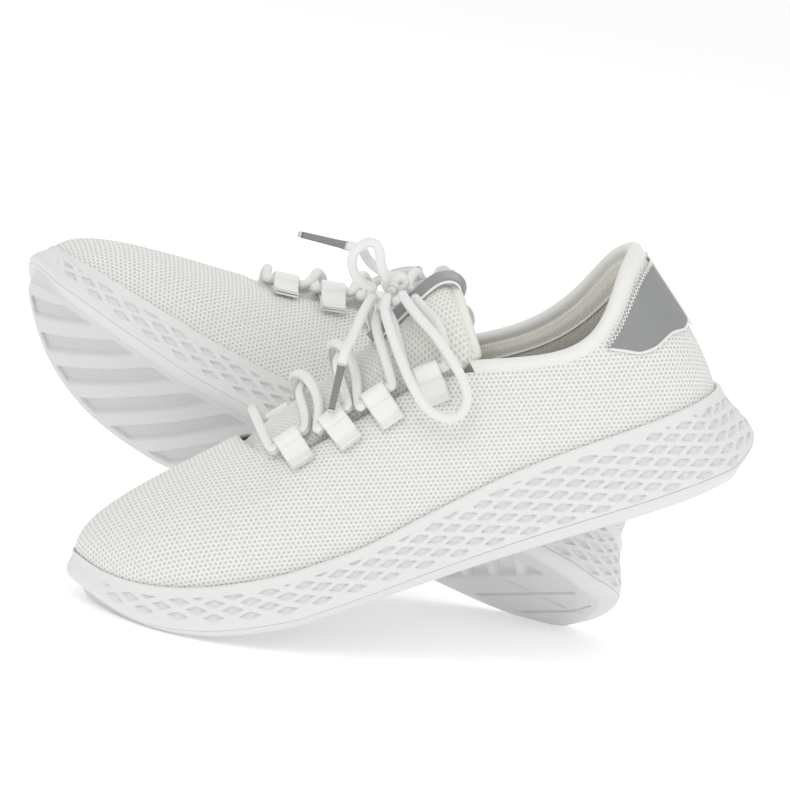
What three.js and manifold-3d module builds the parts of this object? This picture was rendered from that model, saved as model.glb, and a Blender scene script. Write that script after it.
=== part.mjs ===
// A pair of knitted lace-up sneakers, the left one leaning on the right one.
// Millimetres, +Z up. Each shoe is designed as a left shoe in its own frame: X runs from the
// back of the heel to the toe, +Y is the outer side of the foot, Z is the height above a level
// floor. The right shoe is its mirror image.
import * as THREE from "three";
import { mergeVertices } from "three/addons/utils/BufferGeometryUtils.js";
import Module from "manifold-3d";

const wasm = await Module();
wasm.setup();

// ---- driving dimensions ------------------------------------------------------------------
const GAP = 0.35;                 // clearance between pieces that touch
const LAYER_GAP = 0.75;           // clearance between the curved layers of the upper
const KNIT = 1.6;                 // thickness of the knitted upper
const STIFFENER = 1.0;            // heel counter and toe puff
const LINING = 1.0;
const BINDING_WIDTH = 5.4;        // collar binding, across the edge that it covers
const BINDING_HEIGHT = 4.6;
const PATCH = 0.8;                // heel patch
const OUTSOLE = 5;                // outsole at its edge
const RIM_WIDTH = 2.4;            // midsole rim that stands round the upper
const RIM_DEPTH = 3.4;            // how far the upper sits down behind the rim
const BOARD = 1.8;
const SOCKLINER = 4;
const TONGUE = 4.5;
const STRAP_WIDTH = 9;
const STRAP = 1.2;
const LOOP_WIDTH = 10.5;
const LACE = 4;                   // diameter
const AGLET = 3.2;
const AGLET_LENGTH = 19;
const GROOVE_DEPTH = 1.8;
const GROOVE_WIDTH = 4.5;
const FOREFOOT_GROOVE_TURN = 0.533;  // from square across the shoe, inner side toward the heel
const HEEL_GROOVE_TURN = 0.643;

// Rows round the shoe, from the toe by the outer side to the heel and back by the inner side.
// feather: where the upper meets the sole; top: the edge of the foot opening.
const ROWS = [
  { feather: [271, -5], top: [187, 0, 72.5] },
  { feather: [263, 16], top: [185.5, 9, 71] },
  { feather: [247, 33.5], top: [181.5, 17, 68] },
  { feather: [220, 44.5], top: [173, 23, 65] },
  { feather: [188, 46], top: [157, 25.5, 68.5] },
  { feather: [152, 40.5], top: [138, 26.5, 74] },
  { feather: [118, 36], top: [117, 27.3, 77.5] },
  { feather: [88, 35.3], top: [96, 28.5, 75.5] },
  { feather: [60, 34.5], top: [70, 30.5, 70] },
  { feather: [36, 31], top: [47, 28.5, 74] },
  { feather: [16, 20], top: [30, 18.5, 92.5] },
  { feather: [7.5, 0], top: [21, 0, 98.5] },
  { feather: [16, -19.5], top: [30, -18.5, 94] },
  { feather: [36, -29.5], top: [47, -27.5, 82] },
  { feather: [60, -31.5], top: [70, -30, 74] },
  { feather: [88, -31], top: [96, -28.5, 75.5] },
  { feather: [118, -31], top: [117, -27.3, 77.5] },
  { feather: [152, -36], top: [138, -26.5, 74] },
  { feather: [188, -42.5], top: [157, -25.5, 68.5] },
  { feather: [220, -44], top: [173, -23, 65] },
  { feather: [247, -37.5], top: [181.5, -17, 68] },
  { feather: [263, -24], top: [185.5, -9, 71] },
];
// Widest outline of the sole, in the same order.
const SOLE_OUTLINE = [
  [280, -6], [271, 17], [254, 36], [226, 49.5], [192, 51], [154, 44.5], [118, 39.5], [88, 39],
  [60, 39.5], [34, 37], [11, 24], [0.5, 0], [11, -24], [34, -35], [60, -36], [88, -34.5],
  [118, -34], [154, -39.5], [192, -47], [226, -48.5], [254, -41], [271, -27],
];
// Heights along the shoe, as [x, z].
const FEATHER_HEIGHT = [
  [0, 33], [20, 33.5], [60, 33], [90, 31.5], [130, 25.8], [170, 20.8], [190, 20.8], [209, 22.4],
  [229, 25.5], [249, 31], [262, 37], [272, 44], [290, 47],
];
const GROUND_CLEARANCE = [
  [-1, 8], [6, 3], [14, 0], [190, 0], [209, 2.2], [229, 6], [249, 12.5], [262, 18], [281, 31],
];
// Centre line of the tongue's outer face, from its base under the vamp to its top, and the
// half width and edge height of its arched cross-section.
const TONGUE_LINE = [
  { x: 198, z: 59.5, half: 13, edge: 57 },
  { x: 187, z: 63.5, half: 15.5, edge: 57 },
  { x: 176, z: 70.5, half: 18, edge: 57 },
  { x: 158, z: 79.5, half: 20, edge: 59 },
  { x: 136, z: 90, half: 20.5, edge: 64 },
  { x: 115, z: 101, half: 21.5, edge: 68 },
  { x: 103, z: 106, half: 22.3, edge: 69.5 },
  { x: 93, z: 106, half: 22, edge: 73 },
];
const SPAN = 2;                   // mesh stations between two rows
const HEEL_ROW = 11;
const COLLAR_ROWS = [7, 15];      // the rows where the collar meets the throat

// ---- curves --------------------------------------------------------------------------------
const v = (x, y, z) => new THREE.Vector3(x, y, z);
const smooth = (x, from, to) => THREE.MathUtils.smoothstep(x, from, to);

// Height table as a smooth function without overshoot, so flat stretches stay flat.
function heightAlong(table) {
  const slope = (i) => (table[i + 1][1] - table[i][1]) / (table[i + 1][0] - table[i][0]);
  const tangents = table.map((_, i) => {
    if (i === 0 || i === table.length - 1) return slope(Math.min(i, table.length - 2));
    const [before, after] = [slope(i - 1), slope(i)];
    return before * after <= 0 ? 0 : (2 * before * after) / (before + after);
  });
  return (x) => {
    let i = 0;
    while (i < table.length - 2 && x > table[i + 1][0]) i += 1;
    const width = table[i + 1][0] - table[i][0];
    const t = THREE.MathUtils.clamp((x - table[i][0]) / width, 0, 1);
    const rise = t * t * (3 - 2 * t);
    return table[i][1] * (1 - rise) + table[i + 1][1] * rise
      + width * (tangents[i] * t * (1 - t) * (1 - t) - tangents[i + 1] * t * t * (1 - t));
  };
}
const featherHeight = heightAlong(FEATHER_HEIGHT);
const groundClearance = heightAlong(GROUND_CLEARANCE);

// Points round a closed smooth curve, SPAN to each given point.
function closedCurve(points) {
  const curve = new THREE.CatmullRomCurve3(points, true, "catmullrom", 0.5);
  const count = points.length * SPAN;
  return Array.from({ length: count }, (_, i) => curve.getPoint(i / count));
}

// Unit normals in plan of a closed outline, pointing out.
function planNormals(outline) {
  const count = outline.length;
  return outline.map((point, i) => {
    const along = outline[(i + 1) % count].clone().sub(outline[(i + count - 1) % count]);
    const normal = v(along.y, -along.x, 0).normalize();
    const outward = v(point.x - 140, point.y, 0);
    return normal.dot(outward) < 0 ? normal.negate() : normal;
  });
}

const feather = closedCurve(ROWS.map((row) => v(row.feather[0], row.feather[1], 0)));
const featherNormals = planNormals(feather);
const topline = closedCurve(ROWS.map((row) => v(...row.top)));
const soleOutline = closedCurve(SOLE_OUTLINE.map(([x, y]) => v(x, y, 0)));
const soleNormals = planNormals(soleOutline);
const STATIONS = feather.length;

// ---- closed bodies ---------------------------------------------------------------------------
function body(vertices, triangles) {
  const geometry = new THREE.BufferGeometry().setFromPoints(vertices);
  let volume = 0;
  for (const [a, b, c] of triangles) {
    volume += vertices[a].dot(vertices[b].clone().cross(vertices[c]));
  }
  const facing = volume < 0 ? triangles.map(([a, b, c]) => [a, c, b]) : triangles;
  geometry.setIndex(facing.flat());
  return geometry;
}

// Skin over a stack of closed rings of equal count; the last ring joins the first again.
function ringBody(rings) {
  const count = rings[0].length;
  const triangles = [];
  rings.forEach((_, r) => {
    const next = (r + 1) % rings.length;
    for (let i = 0; i < count; i += 1) {
      const j = (i + 1) % count;
      triangles.push([r * count + i, r * count + j, next * count + j]);
      triangles.push([r * count + i, next * count + j, next * count + i]);
    }
  });
  return body(rings.flat(), triangles);
}

// Skin over a stack of rings that run round the shoe, closed below and above by flat strips
// from side to side.
function plateBody(rings) {
  const count = rings[0].length;
  const triangles = [];
  for (let r = 0; r + 1 < rings.length; r += 1) {
    for (let i = 0; i < count; i += 1) {
      const j = (i + 1) % count;
      triangles.push([r * count + i, r * count + j, (r + 1) * count + j]);
      triangles.push([r * count + i, (r + 1) * count + j, (r + 1) * count + i]);
    }
  }
  const cap = (first, flip) => {
    for (let i = 0; i < count / 2; i += 1) {
      const [a, b] = [first + i, first + i + 1];
      const [c, d] = [first + ((count - i) % count), first + count - i - 1];
      const strip = [];
      if (i > 0) strip.push([a, c, b]);
      if (b !== d) strip.push(i > 0 ? [b, c, d] : [a, d, b]);
      triangles.push(...strip.map((t) => (flip ? [t[0], t[2], t[1]] : t)));
    }
  };
  cap(0, false);
  cap((rings.length - 1) * count, true);
  return body(rings.flat(), triangles);
}

// A panel between two grids of the same size, closed round its four edges.
function panelBody(outer, inner) {
  const [rows, columns] = [outer.length, outer[0].length];
  const triangles = [];
  const at = (side, i, j) => side * rows * columns + i * columns + j;
  const quad = (a, b, c, d) => triangles.push([a, b, c], [a, c, d]);
  for (let i = 0; i + 1 < rows; i += 1) {
    for (let j = 0; j + 1 < columns; j += 1) {
      quad(at(0, i, j), at(0, i + 1, j), at(0, i + 1, j + 1), at(0, i, j + 1));
      quad(at(1, i, j), at(1, i, j + 1), at(1, i + 1, j + 1), at(1, i + 1, j));
    }
    quad(at(0, i, 0), at(1, i, 0), at(1, i + 1, 0), at(0, i + 1, 0));
    const last = columns - 1;
    quad(at(0, i, last), at(0, i + 1, last), at(1, i + 1, last), at(1, i, last));
  }
  for (let j = 0; j + 1 < columns; j += 1) {
    quad(at(0, 0, j), at(0, 0, j + 1), at(1, 0, j + 1), at(1, 0, j));
    const last = rows - 1;
    quad(at(0, last, j), at(1, last, j), at(1, last, j + 1), at(0, last, j + 1));
  }
  return body([...outer.flat(), ...inner.flat()], triangles);
}

function solid(geometry) {
  const bare = new THREE.BufferGeometry().setAttribute("position", geometry.getAttribute("position"));
  bare.setIndex(geometry.getIndex());
  const merged = mergeVertices(bare, 1e-3);
  return new wasm.Manifold(new wasm.Mesh({
    numProp: 3,
    vertProperties: new Float32Array(merged.getAttribute("position").array),
    triVerts: new Uint32Array(merged.getIndex().array),
  }));
}

function geometryOf(manifold) {
  const mesh = manifold.getMesh();
  const geometry = new THREE.BufferGeometry();
  geometry.setAttribute("position", new THREE.BufferAttribute(mesh.vertProperties, 3));
  geometry.setIndex(new THREE.BufferAttribute(mesh.triVerts, 1));
  return geometry;
}

// A round tube along a smooth curve through points.
function tube(points, diameter, steps, sides = 8) {
  const path = new THREE.CatmullRomCurve3(points.map((p) => v(...p)), false, "centripetal");
  const section = new THREE.Shape(Array.from({ length: sides }, (_, i) => {
    const angle = (2 * Math.PI * i) / sides;
    return new THREE.Vector2(Math.cos(angle), Math.sin(angle)).multiplyScalar(diameter / 2);
  }));
  return new THREE.ExtrudeGeometry(section, { steps, extrudePath: path });
}

// ---- the upper's surface ---------------------------------------------------------------------
// Meridian of station i: a cubic curve that rises from the feather line, stands out a little
// over the sole, and turns in to the foot opening. s is 0 at the sole and 1 at the opening.
function upperPoint(i, s) {
  const foot = feather[i];
  const top = topline[i];
  const towardToe = smooth(foot.x, 120, 205);
  const footHeight = featherHeight(foot.x) - RIM_DEPTH + 0.4;
  const rise = top.z - footHeight;
  const [inX, inY] = [top.x - foot.x, top.y - foot.y];
  const startRise = 0.36 + 0.2 * towardToe;
  const endRun = 0.33 + 0.21 * towardToe;
  const bulge = 2.2 - towardToe;
  const endDrop = 0.3;
  const normal = featherNormals[i];
  const p1 = v(foot.x + normal.x * bulge, foot.y + normal.y * bulge, footHeight + startRise * rise);
  const p2 = v(top.x - inX * endRun, top.y - inY * endRun, top.z - endDrop * rise);
  return new THREE.CubicBezierCurve3(v(foot.x, foot.y, footHeight), p1, p2, top).getPoint(s);
}

function upperNormal(i, s) {
  const step = 0.02;
  const along = upperPoint((i + 1) % STATIONS, s).sub(upperPoint((i + STATIONS - 1) % STATIONS, s));
  const up = upperPoint(i, Math.min(s + step, 1)).sub(upperPoint(i, Math.max(s - step, 0)));
  return along.cross(up).normalize();
}

// A point at a depth inside the upper's outer face; a negative depth lies outside it.
const inside = (i, s, depth) => upperPoint(i, s).addScaledVector(upperNormal(i, s), -depth);

const numbers = (count) => Array.from({ length: count }, (_, k) => k);
const stationRange = (from, to) => numbers(to - from + 1).map((k) => (from + k + STATIONS) % STATIONS);
const steps = (from, to, count) => numbers(count).map((k) => from + ((to - from) * k) / (count - 1));

// A shell between two depths, all round the shoe, from s = low to s = high.
function shell(depth, thickness, low, high, levels) {
  const stations = stationRange(0, STATIONS - 1);
  const ring = (s, d) => stations.map((i) => inside(i, s, d));
  const heights = steps(low, high, levels);
  const outer = heights.map((s) => ring(s, depth));
  const inner = heights.map((s) => ring(s, depth + thickness)).reverse();
  return ringBody([...outer, ...inner]);
}

// A panel over some stations; low and high give its limits in s at each station.
function panel(stations, depth, thickness, low, high, levels) {
  const grid = (d) => stations.map((i) => steps(low(i), high(i), levels).map((s) => inside(i, s, d)));
  return panelBody(grid(depth), grid(depth + thickness));
}

// ---- sub-parts ---------------------------------------------------------------------------------
const UPPER_TOP = 0.94;           // the upper stops below the binding
const upper = () => shell(0, KNIT, 0, UPPER_TOP, 6);
const lining = () => shell(KNIT + STIFFENER + 2 * LAYER_GAP, LINING, 0.12, UPPER_TOP, 5);

// Stations from the heel's centre line.
const fromHeel = (i) => Math.abs(i - HEEL_ROW * SPAN) / SPAN;

function heelCounter() {
  const reach = 2.5 * SPAN;
  const stations = stationRange(HEEL_ROW * SPAN - reach, HEEL_ROW * SPAN + reach);
  return panel(stations, KNIT + LAYER_GAP, STIFFENER, () => 0.12, () => 0.62, 4);
}

function toePuff() {
  const reach = 2 * SPAN;
  return panel(stationRange(-reach, reach), KNIT + LAYER_GAP, STIFFENER, () => 0.188, () => 0.47, 4);
}

// Lower edge of the heel patch in s, against the number of rows from the centre of the heel.
const PATCH_LOW = [
  [0, 0.47], [0.52, 0.458], [0.95, 0.506], [1.31, 0.528], [1.63, 0.596], [1.88, 0.741], [2.04, 0.84],
];
const patchLow = heightAlong(PATCH_LOW);

function heelPatch() {
  const reach = 2 * SPAN;
  const stations = stationRange(HEEL_ROW * SPAN - reach, HEEL_ROW * SPAN + reach);
  const high = (i) => 0.871 - 0.012 * smooth(fromHeel(i), 0.6, 2.1);
  return panel(stations, -GAP - PATCH, PATCH, (i) => patchLow(fromHeel(i)), high, 4);
}

// The binding's rounded section sits on the upper's top edge, square to the opening.
function collarBinding() {
  const stations = stationRange(COLLAR_ROWS[0] * SPAN, COLLAR_ROWS[1] * SPAN);
  const section = [[-1, 0], [-1, 0.6], [-0.5, 1], [0.5, 1], [1, 0.6], [1, 0]];
  const rings = stations.map((i) => {
    const edge = inside(i, UPPER_TOP, (KNIT + STIFFENER + LINING) / 2 + LAYER_GAP);
    const out = upperNormal(i, UPPER_TOP);
    const up = upperPoint(i, 1).sub(upperPoint(i, 0.9)).normalize();
    return section.map(([across, height]) => edge.clone()
      .addScaledVector(up, LAYER_GAP + height * BINDING_HEIGHT)
      .addScaledVector(out, (across * BINDING_WIDTH) / 2));
  });
  return prism(rings);
}

// Open sweep of a closed section, with an end cap on the first and the last section.
function prism(sections) {
  const count = sections[0].length;
  const triangles = [];
  for (let r = 0; r + 1 < sections.length; r += 1) {
    for (let i = 0; i < count; i += 1) {
      const j = (i + 1) % count;
      triangles.push([r * count + i, r * count + j, (r + 1) * count + j]);
      triangles.push([r * count + i, (r + 1) * count + j, (r + 1) * count + i]);
    }
  }
  const last = (sections.length - 1) * count;
  for (let i = 1; i + 1 < count; i += 1) {
    triangles.push([0, i + 1, i]);
    triangles.push([last, last + i, last + i + 1]);
  }
  return body(sections.flat(), triangles);
}

const offsetRing = (ring, normals, out, height) => ring.map((point, i) => (
  v(point.x + normals[i].x * out, point.y + normals[i].y * out, height(point.x, i))));

function outsole() {
  const bottom = offsetRing(soleOutline, soleNormals, -4, groundClearance);
  const edge = offsetRing(soleOutline, soleNormals, -0.8, (x) => groundClearance(x) + OUTSOLE);
  let tread = solid(plateBody([bottom, edge]));
  const grooves = [
    ...steps(155.5, 232.7, 5).map((x) => [x, -FOREFOOT_GROOVE_TURN]),
    ...steps(11, 28, 2).map((x) => [x, -HEEL_GROOVE_TURN]),
  ];
  for (const [x, turn] of grooves) {
    const height = groundClearance(x);
    const cutter = new THREE.BoxGeometry(GROOVE_WIDTH, 120, 2 * GROOVE_DEPTH);
    cutter.rotateZ(turn);
    cutter.rotateY(-Math.atan(groundClearance(x + 1) - height));
    cutter.translate(x, 0, height);
    tread = tread.subtract(solid(cutter));
  }
  return geometryOf(tread);
}

function midsole() {
  const base = (x) => groundClearance(x) + OUTSOLE + GAP;
  const bottom = offsetRing(soleOutline, soleNormals, -0.8, base);
  const belly = soleOutline.map((point, i) => {
    const middle = point.clone().lerp(feather[i], 0.3);
    return v(middle.x, middle.y, 0.55 * base(point.x) + 0.45 * featherHeight(feather[i].x));
  });
  const rimTop = (x, i) => featherHeight(feather[i].x) + 0.5;
  const seat = (x, i) => featherHeight(feather[i].x) - RIM_DEPTH;
  const rimOuter = offsetRing(feather, featherNormals, RIM_WIDTH + GAP, rimTop);
  const rimInner = offsetRing(feather, featherNormals, GAP + 0.5, rimTop);
  const seatEdge = offsetRing(feather, featherNormals, GAP + 0.1, seat);
  return plateBody([bottom, belly, rimOuter, rimInner, seatEdge]);
}

// A flat plate that lies above the midsole's seat, inside the feather line.
function plate(inset, lift, thickness) {
  const level = (above) => (x, i) => featherHeight(feather[i].x) - RIM_DEPTH + above;
  const lower = offsetRing(feather, featherNormals, -inset, level(lift));
  const higher = offsetRing(feather, featherNormals, -inset, level(lift + thickness));
  return plateBody([lower, higher]);
}
const insoleBoard = () => plate(KNIT + 0.9, GAP, BOARD);
const sockliner = () => plate(KNIT + STIFFENER + LINING + 5.7, BOARD + 2 * GAP, SOCKLINER);

// Arched section of the tongue at a row, at a depth below its outer face.
function tonguePoint(row, angle, depth) {
  const rise = row.z - row.edge;
  return v(row.x, (row.half - depth) * Math.sin(angle), row.edge + (rise - depth) * Math.cos(angle));
}

function tongueRows() {
  const keys = ["x", "z", "half", "edge"];
  const curves = keys.map((key) => new THREE.CatmullRomCurve3(
    TONGUE_LINE.map((row, i) => v(i, row[key], 0)), false, "catmullrom", 0.5));
  const count = TONGUE_LINE.length + 2;
  return Array.from({ length: count }, (_, k) => Object.fromEntries(
    keys.map((key, n) => [key, curves[n].getPoint(k / (count - 1)).y])));
}

function tongue() {
  const rows = tongueRows();
  const angles = steps(-1.45, 1.45, 9);
  const grid = (depth) => rows.map((row) => angles.map((angle) => tonguePoint(row, angle, depth)));
  return panelBody(grid(0), grid(TONGUE));
}

// The strap lies along the middle of the tongue, arches over its top and ends inside it.
function tongueStrap() {
  const line = [
    [140, 90.2], [128, 96.4], [115, 103.4], [104, 108.4], [97, 109.4], [90.6, 108], [87.6, 103],
    [88.2, 97], [89.5, 91],
  ];
  const curve = new THREE.CatmullRomCurve3(line.map(([x, z]) => v(x, 0, z)), false, "centripetal");
  const sections = steps(0, 1, 12).map((t) => {
    const centre = curve.getPointAt(t);
    const along = curve.getTangentAt(t);
    const out = v(-along.z, 0, along.x).negate();
    return [[-1, 0], [1, 0], [1, 1], [-1, 1]].map(([side, layer]) => centre.clone()
      .addScaledVector(out, layer * STRAP)
      .add(v(0, (side * STRAP_WIDTH) / 2, 0)));
  });
  return prism(sections);
}

// ---- lace loops and lace -----------------------------------------------------------------------
// The four loops of a side: the row where each stands on the throat's edge, and how far its
// sewn end turns toward the heel, in degrees.
const LOOPS = [
  { row: 3.14, turn: 18 },
  { row: 4.2, turn: 8 },
  { row: 5.06, turn: 6 },
  { row: 6.02, turn: 6 },
];

function edgeFrame(loop, side) {
  const station = LOOPS[loop].row * SPAN;
  const turn = THREE.MathUtils.degToRad(LOOPS[loop].turn);
  const at = (s) => {
    const low = Math.floor(station);
    return upperPoint(low, s).lerp(upperPoint(low + 1, s), station - low);
  };
  const edge = at(UPPER_TOP);
  const ahead = upperPoint(Math.floor(station), UPPER_TOP)
    .sub(upperPoint(Math.floor(station) + 1, UPPER_TOP)).normalize();
  const rise = at(UPPER_TOP).sub(at(UPPER_TOP - 0.2));
  const square = rise.addScaledVector(ahead, -rise.dot(ahead)).normalize();
  const inward = square.clone().multiplyScalar(Math.cos(turn)).addScaledVector(ahead, Math.sin(turn));
  const out = ahead.clone().cross(square).normalize();
  if (out.z < 0) out.negate();
  const mirror = (p) => v(p.x, p.y * side, p.z);
  return { edge: mirror(edge), inward: mirror(inward), out: mirror(out) };
}

const EYE_CENTRE = [3.6, 4.3];      // eye of a loop, inward of the edge and above the upper
const EYE = [3.3, 3];           // half sizes of the eye
const WEBBING = 1.1;
const LOOP_LIFT = 1.3;
const LOOP_TAIL = 9;               // sewn tail on the upper

function laceLoop(loop, side) {
  const { edge, inward, out } = edgeFrame(loop, side);
  const outline = new THREE.Shape();
  const [cx, cy] = EYE_CENTRE;
  const [rx, ry] = [EYE[0] + WEBBING, EYE[1] + WEBBING];
  outline.moveTo(-LOOP_TAIL, LOOP_LIFT);
  outline.lineTo(-2, LOOP_LIFT);
  outline.absellipse(cx, cy, rx, ry, -2.2, 3.36, false);
  outline.lineTo(-LOOP_TAIL, LOOP_LIFT + 1.8 * WEBBING);
  const eye = new THREE.Path().absellipse(cx, cy, EYE[0], EYE[1], 0, 2 * Math.PI, true);
  outline.holes.push(eye);
  const geometry = new THREE.ExtrudeGeometry(outline, {
    depth: LOOP_WIDTH, steps: 1, bevelEnabled: false, curveSegments: 4,
  });
  geometry.translate(0, 0, -LOOP_WIDTH / 2);
  const basis = new THREE.Matrix4().makeBasis(inward, out, inward.clone().cross(out));
  geometry.applyMatrix4(basis.setPosition(edge));
  const run = loop % 2 === 0 ? side : -side;
  return geometryOf(solid(geometry).subtract(solid(laceTube(run, LACE + 1.1))));
}

// A point on the axis of a loop's eye, some way ahead of its middle along the throat's edge.
function eyePoint(loop, side, ahead) {
  const { edge, inward, out } = edgeFrame(loop, side);
  const along = inward.clone().cross(out);
  if (along.x < 0) along.negate();
  return edge.clone()
    .addScaledVector(inward, EYE_CENTRE[0])
    .addScaledVector(out, EYE_CENTRE[1])
    .addScaledVector(along, ahead);
}

// Arches of the lace over the tongue: the front bar, then between one pair of loops and the
// next, where the upper run crosses ARCH_STEP above the lower one.
const FRONT_ARCH = { x: 187, z: 79 };
const ARCHES = [
  { x: 164.5, z: 82.5, lean: 3 },
  { x: 147, z: 90, lean: 3 },
  { x: 127.5, z: 101.6, lean: 3.5 },
];
const ARCH_STEP = 4.7;
const KNOT = { centre: [118, 0, 111.5], size: [7, 8.5, 4.6] };
const KNOT_APPROACH = [[107, 23, 92], [110, 14, 100], [112.8, 8, 105]];

// One run of the lace: from the middle of the front bar it crosses to the other side at each
// arch, and ends at the knot.
function laceRun(side) {
  const half = LOOP_WIDTH / 2;
  const points = [
    v(FRONT_ARCH.x, 0.5 * side, FRONT_ARCH.z),
    v(FRONT_ARCH.x - 0.5, 9 * side, FRONT_ARCH.z - 2),
  ];
  LOOPS.forEach((_, loop) => {
    const hand = loop % 2 === 0 ? side : -side;
    if (loop > 0) {
      const { x, z, lean } = ARCHES[loop - 1];
      const over = hand > 0 ? ARCH_STEP : 0;
      points.push(v(x + lean, -19 * hand, z - 8 + over * 0.4));
      points.push(v(x + 2.5, -9 * hand, z - 1.5 + over * 0.8));
      points.push(v(x, 0, z + over));
      points.push(v(x - 2.5, 9 * hand, z - 1.5 + over * 0.8));
      points.push(v(x - lean, 19 * hand, z - 8 + over * 0.4));
    }
    points.push(...[half + 2.2, half + 0.8, 0, -half - 0.8, -half - 2.2].map((p) => eyePoint(loop, hand, p)));
  });
  points.push(...KNOT_APPROACH.map(([x, y, z]) => v(x, -side * y, z)));
  return points;
}
const laceTube = (side, diameter) => tube(laceRun(side).map((p) => p.toArray()), diameter, 56);

// The bows and the free ends of the laces, each in the frame of a left shoe. The left shoe's
// bow stands up; the right shoe's lies over its outer side.
const SIDE_BOW = [
  [123, 10.8, 109.4], [125.4, 16, 105.6], [126, 23, 99.6], [125.6, 32, 88.6],
  [124, 39.5, 76], [121, 41, 67], [114.4, 41, 61.4], [107.7, 40.6, 62.6], [104.6, 39.5, 69.8],
  [106.2, 36.5, 81], [110, 29.5, 92.5], [114.6, 21.5, 101.8], [117.3, 11.8, 108.6],
];
const ROUTES = {
  left: {
    bow_loop_a: [
      [127.2, 4.5, 113], [131.4, 8, 117.5], [133, 11, 124.2], [131.3, 13, 129.5], [127.2, 14, 132.4],
      [122.8, 14.5, 132.5], [121, 15, 129.1], [121.8, 14.5, 123.9], [121.5, 12, 118.6], [121, 8.5, 115.8],
    ],
    bow_loop_b: SIDE_BOW,
    lace_end_a: [
      [118, -11, 110], [120, -15, 113], [124, -16, 118], [126, -13, 123.5], [127, -8, 127],
      [129.5, -5, 129], [132.3, -5.4, 130.6],
    ],
    lace_end_b: [
      [128.2, 4.5, 109.8], [134, 12, 106], [139.6, 20, 101], [143.5, 25.5, 98], [146, 28.3, 95.8],
      [148.3, 29.6, 92],
    ],
  },
  right: {
    bow_loop_a: [
      [126.3, 7.5, 109.5], [131, 14.5, 107], [133, 23, 100.5], [133, 32, 90], [133, 38.5, 79],
      [134.2, 41.5, 69], [138.6, 42.5, 62.5], [143.4, 42.5, 66], [144.2, 40.5, 75], [142.5, 34, 85.5],
      [139, 26, 94.5], [134.5, 17.5, 103.5], [130, 9.5, 109.6],
    ],
    bow_loop_b: SIDE_BOW,
    lace_end_a: [
      [112, 9.8, 111.5], [107.5, 15, 108.5], [103.5, 20.5, 103], [100, 25.5, 96], [97, 29.5, 88.5],
    ],
    lace_end_b: [
      [129.5, 3.5, 110.8], [136, 8, 109], [143, 15, 104.5], [149, 23, 99], [153, 30, 92.5],
    ],
  },
};
const AGLETS = { aglet_a: "lace_end_a", aglet_b: "lace_end_b" };

function freeLace(points) {
  return tube(points, LACE, points.length * 2, 8);
}

// A lace tip: a rolled sleeve in line with the end of its lace.
function aglet(route) {
  const [before, end] = route.slice(-2).map((p) => v(...p));
  const along = end.clone().sub(before).normalize();
  const sleeve = new THREE.CylinderGeometry(AGLET / 2, AGLET / 2 * 0.85, AGLET_LENGTH, 8);
  sleeve.translate(0, AGLET_LENGTH / 2 + GAP, 0);
  sleeve.applyQuaternion(new THREE.Quaternion().setFromUnitVectors(v(0, 1, 0), along));
  return sleeve.translate(end.x, end.y, end.z);
}

function knot() {
  const ball = new THREE.SphereGeometry(1, 10, 6);
  return ball.scale(...KNOT.size).translate(...KNOT.centre);
}

// ---- materials and the pair ----------------------------------------------------------------------
const finish = (color, roughness) => new THREE.MeshStandardMaterial({ color, roughness, metalness: 0 });
const MATERIALS = {
  knit: finish(0xecede8, 0.85),
  rubber: finish(0xd0d1d0, 0.6),
  foam: finish(0xe8e8e6, 0.55),
  grey: finish(0xa0a0a0, 0.55),
  lining: finish(0xd8d5c8, 0.9),
  board: finish(0xd8d2c0, 0.8),
  webbing: finish(0xf2f2ee, 0.7),
  aglet: finish(0x8e8f8a, 0.3),
};

function shoeParts(routes) {
  const parts = [
    ["outsole", outsole(), "rubber"],
    ["midsole", midsole(), "foam"],
    ["insole_board", insoleBoard(), "board"],
    ["sockliner", sockliner(), "lining"],
    ["upper", upper(), "knit"],
    ["lining", lining(), "lining"],
    ["heel_counter", heelCounter(), "board"],
    ["toe_puff", toePuff(), "board"],
    ["collar_binding", collarBinding(), "webbing"],
    ["heel_patch", heelPatch(), "grey"],
    ["tongue", tongue(), "knit"],
    ["tongue_strap", tongueStrap(), "grey"],
    ["lacing_a", laceTube(1, LACE), "webbing"],
    ["lacing_b", laceTube(-1, LACE), "webbing"],
    ["knot", knot(), "webbing"],
  ];
  for (const [name, side] of [["lateral", 1], ["medial", -1]]) {
    LOOPS.forEach((_, loop) => {
      parts.push([`lace_loop_${name}_${loop + 1}`, laceLoop(loop, side), "webbing"]);
    });
  }
  for (const name of Object.keys(routes)) parts.push([name, freeLace(routes[name]), "webbing"]);
  for (const name of Object.keys(AGLETS)) parts.push([name, aglet(routes[AGLETS[name]]), "aglet"]);
  return parts;
}

// The same solid seen in a mirror along Y, with its faces still pointing out.
function mirrored(geometry) {
  const copy = geometry.index ? geometry.toNonIndexed() : geometry.clone();
  const position = copy.getAttribute("position");
  const corners = Array.from({ length: position.count }, (_, i) => v().fromBufferAttribute(position, i));
  corners.forEach((corner) => { corner.y = -corner.y; });
  for (let i = 0; i < corners.length; i += 3) {
    [corners[i + 1], corners[i + 2]] = [corners[i + 2], corners[i + 1]];
  }
  return new THREE.BufferGeometry().setFromPoints(corners);
}

// Where each shoe lies: the turn of its frame, and where its heel end stands on the ground plan.
const degrees = THREE.MathUtils.degToRad;
const PLACES = {
  left: { yaw: -175.1, pitch: 25, roll: 0, at: [158.4, -45.4], mirror: false },
  right: { yaw: 174.7, pitch: -15.6, roll: 33.7, at: [111.3, 0], mirror: true },
};

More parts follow.
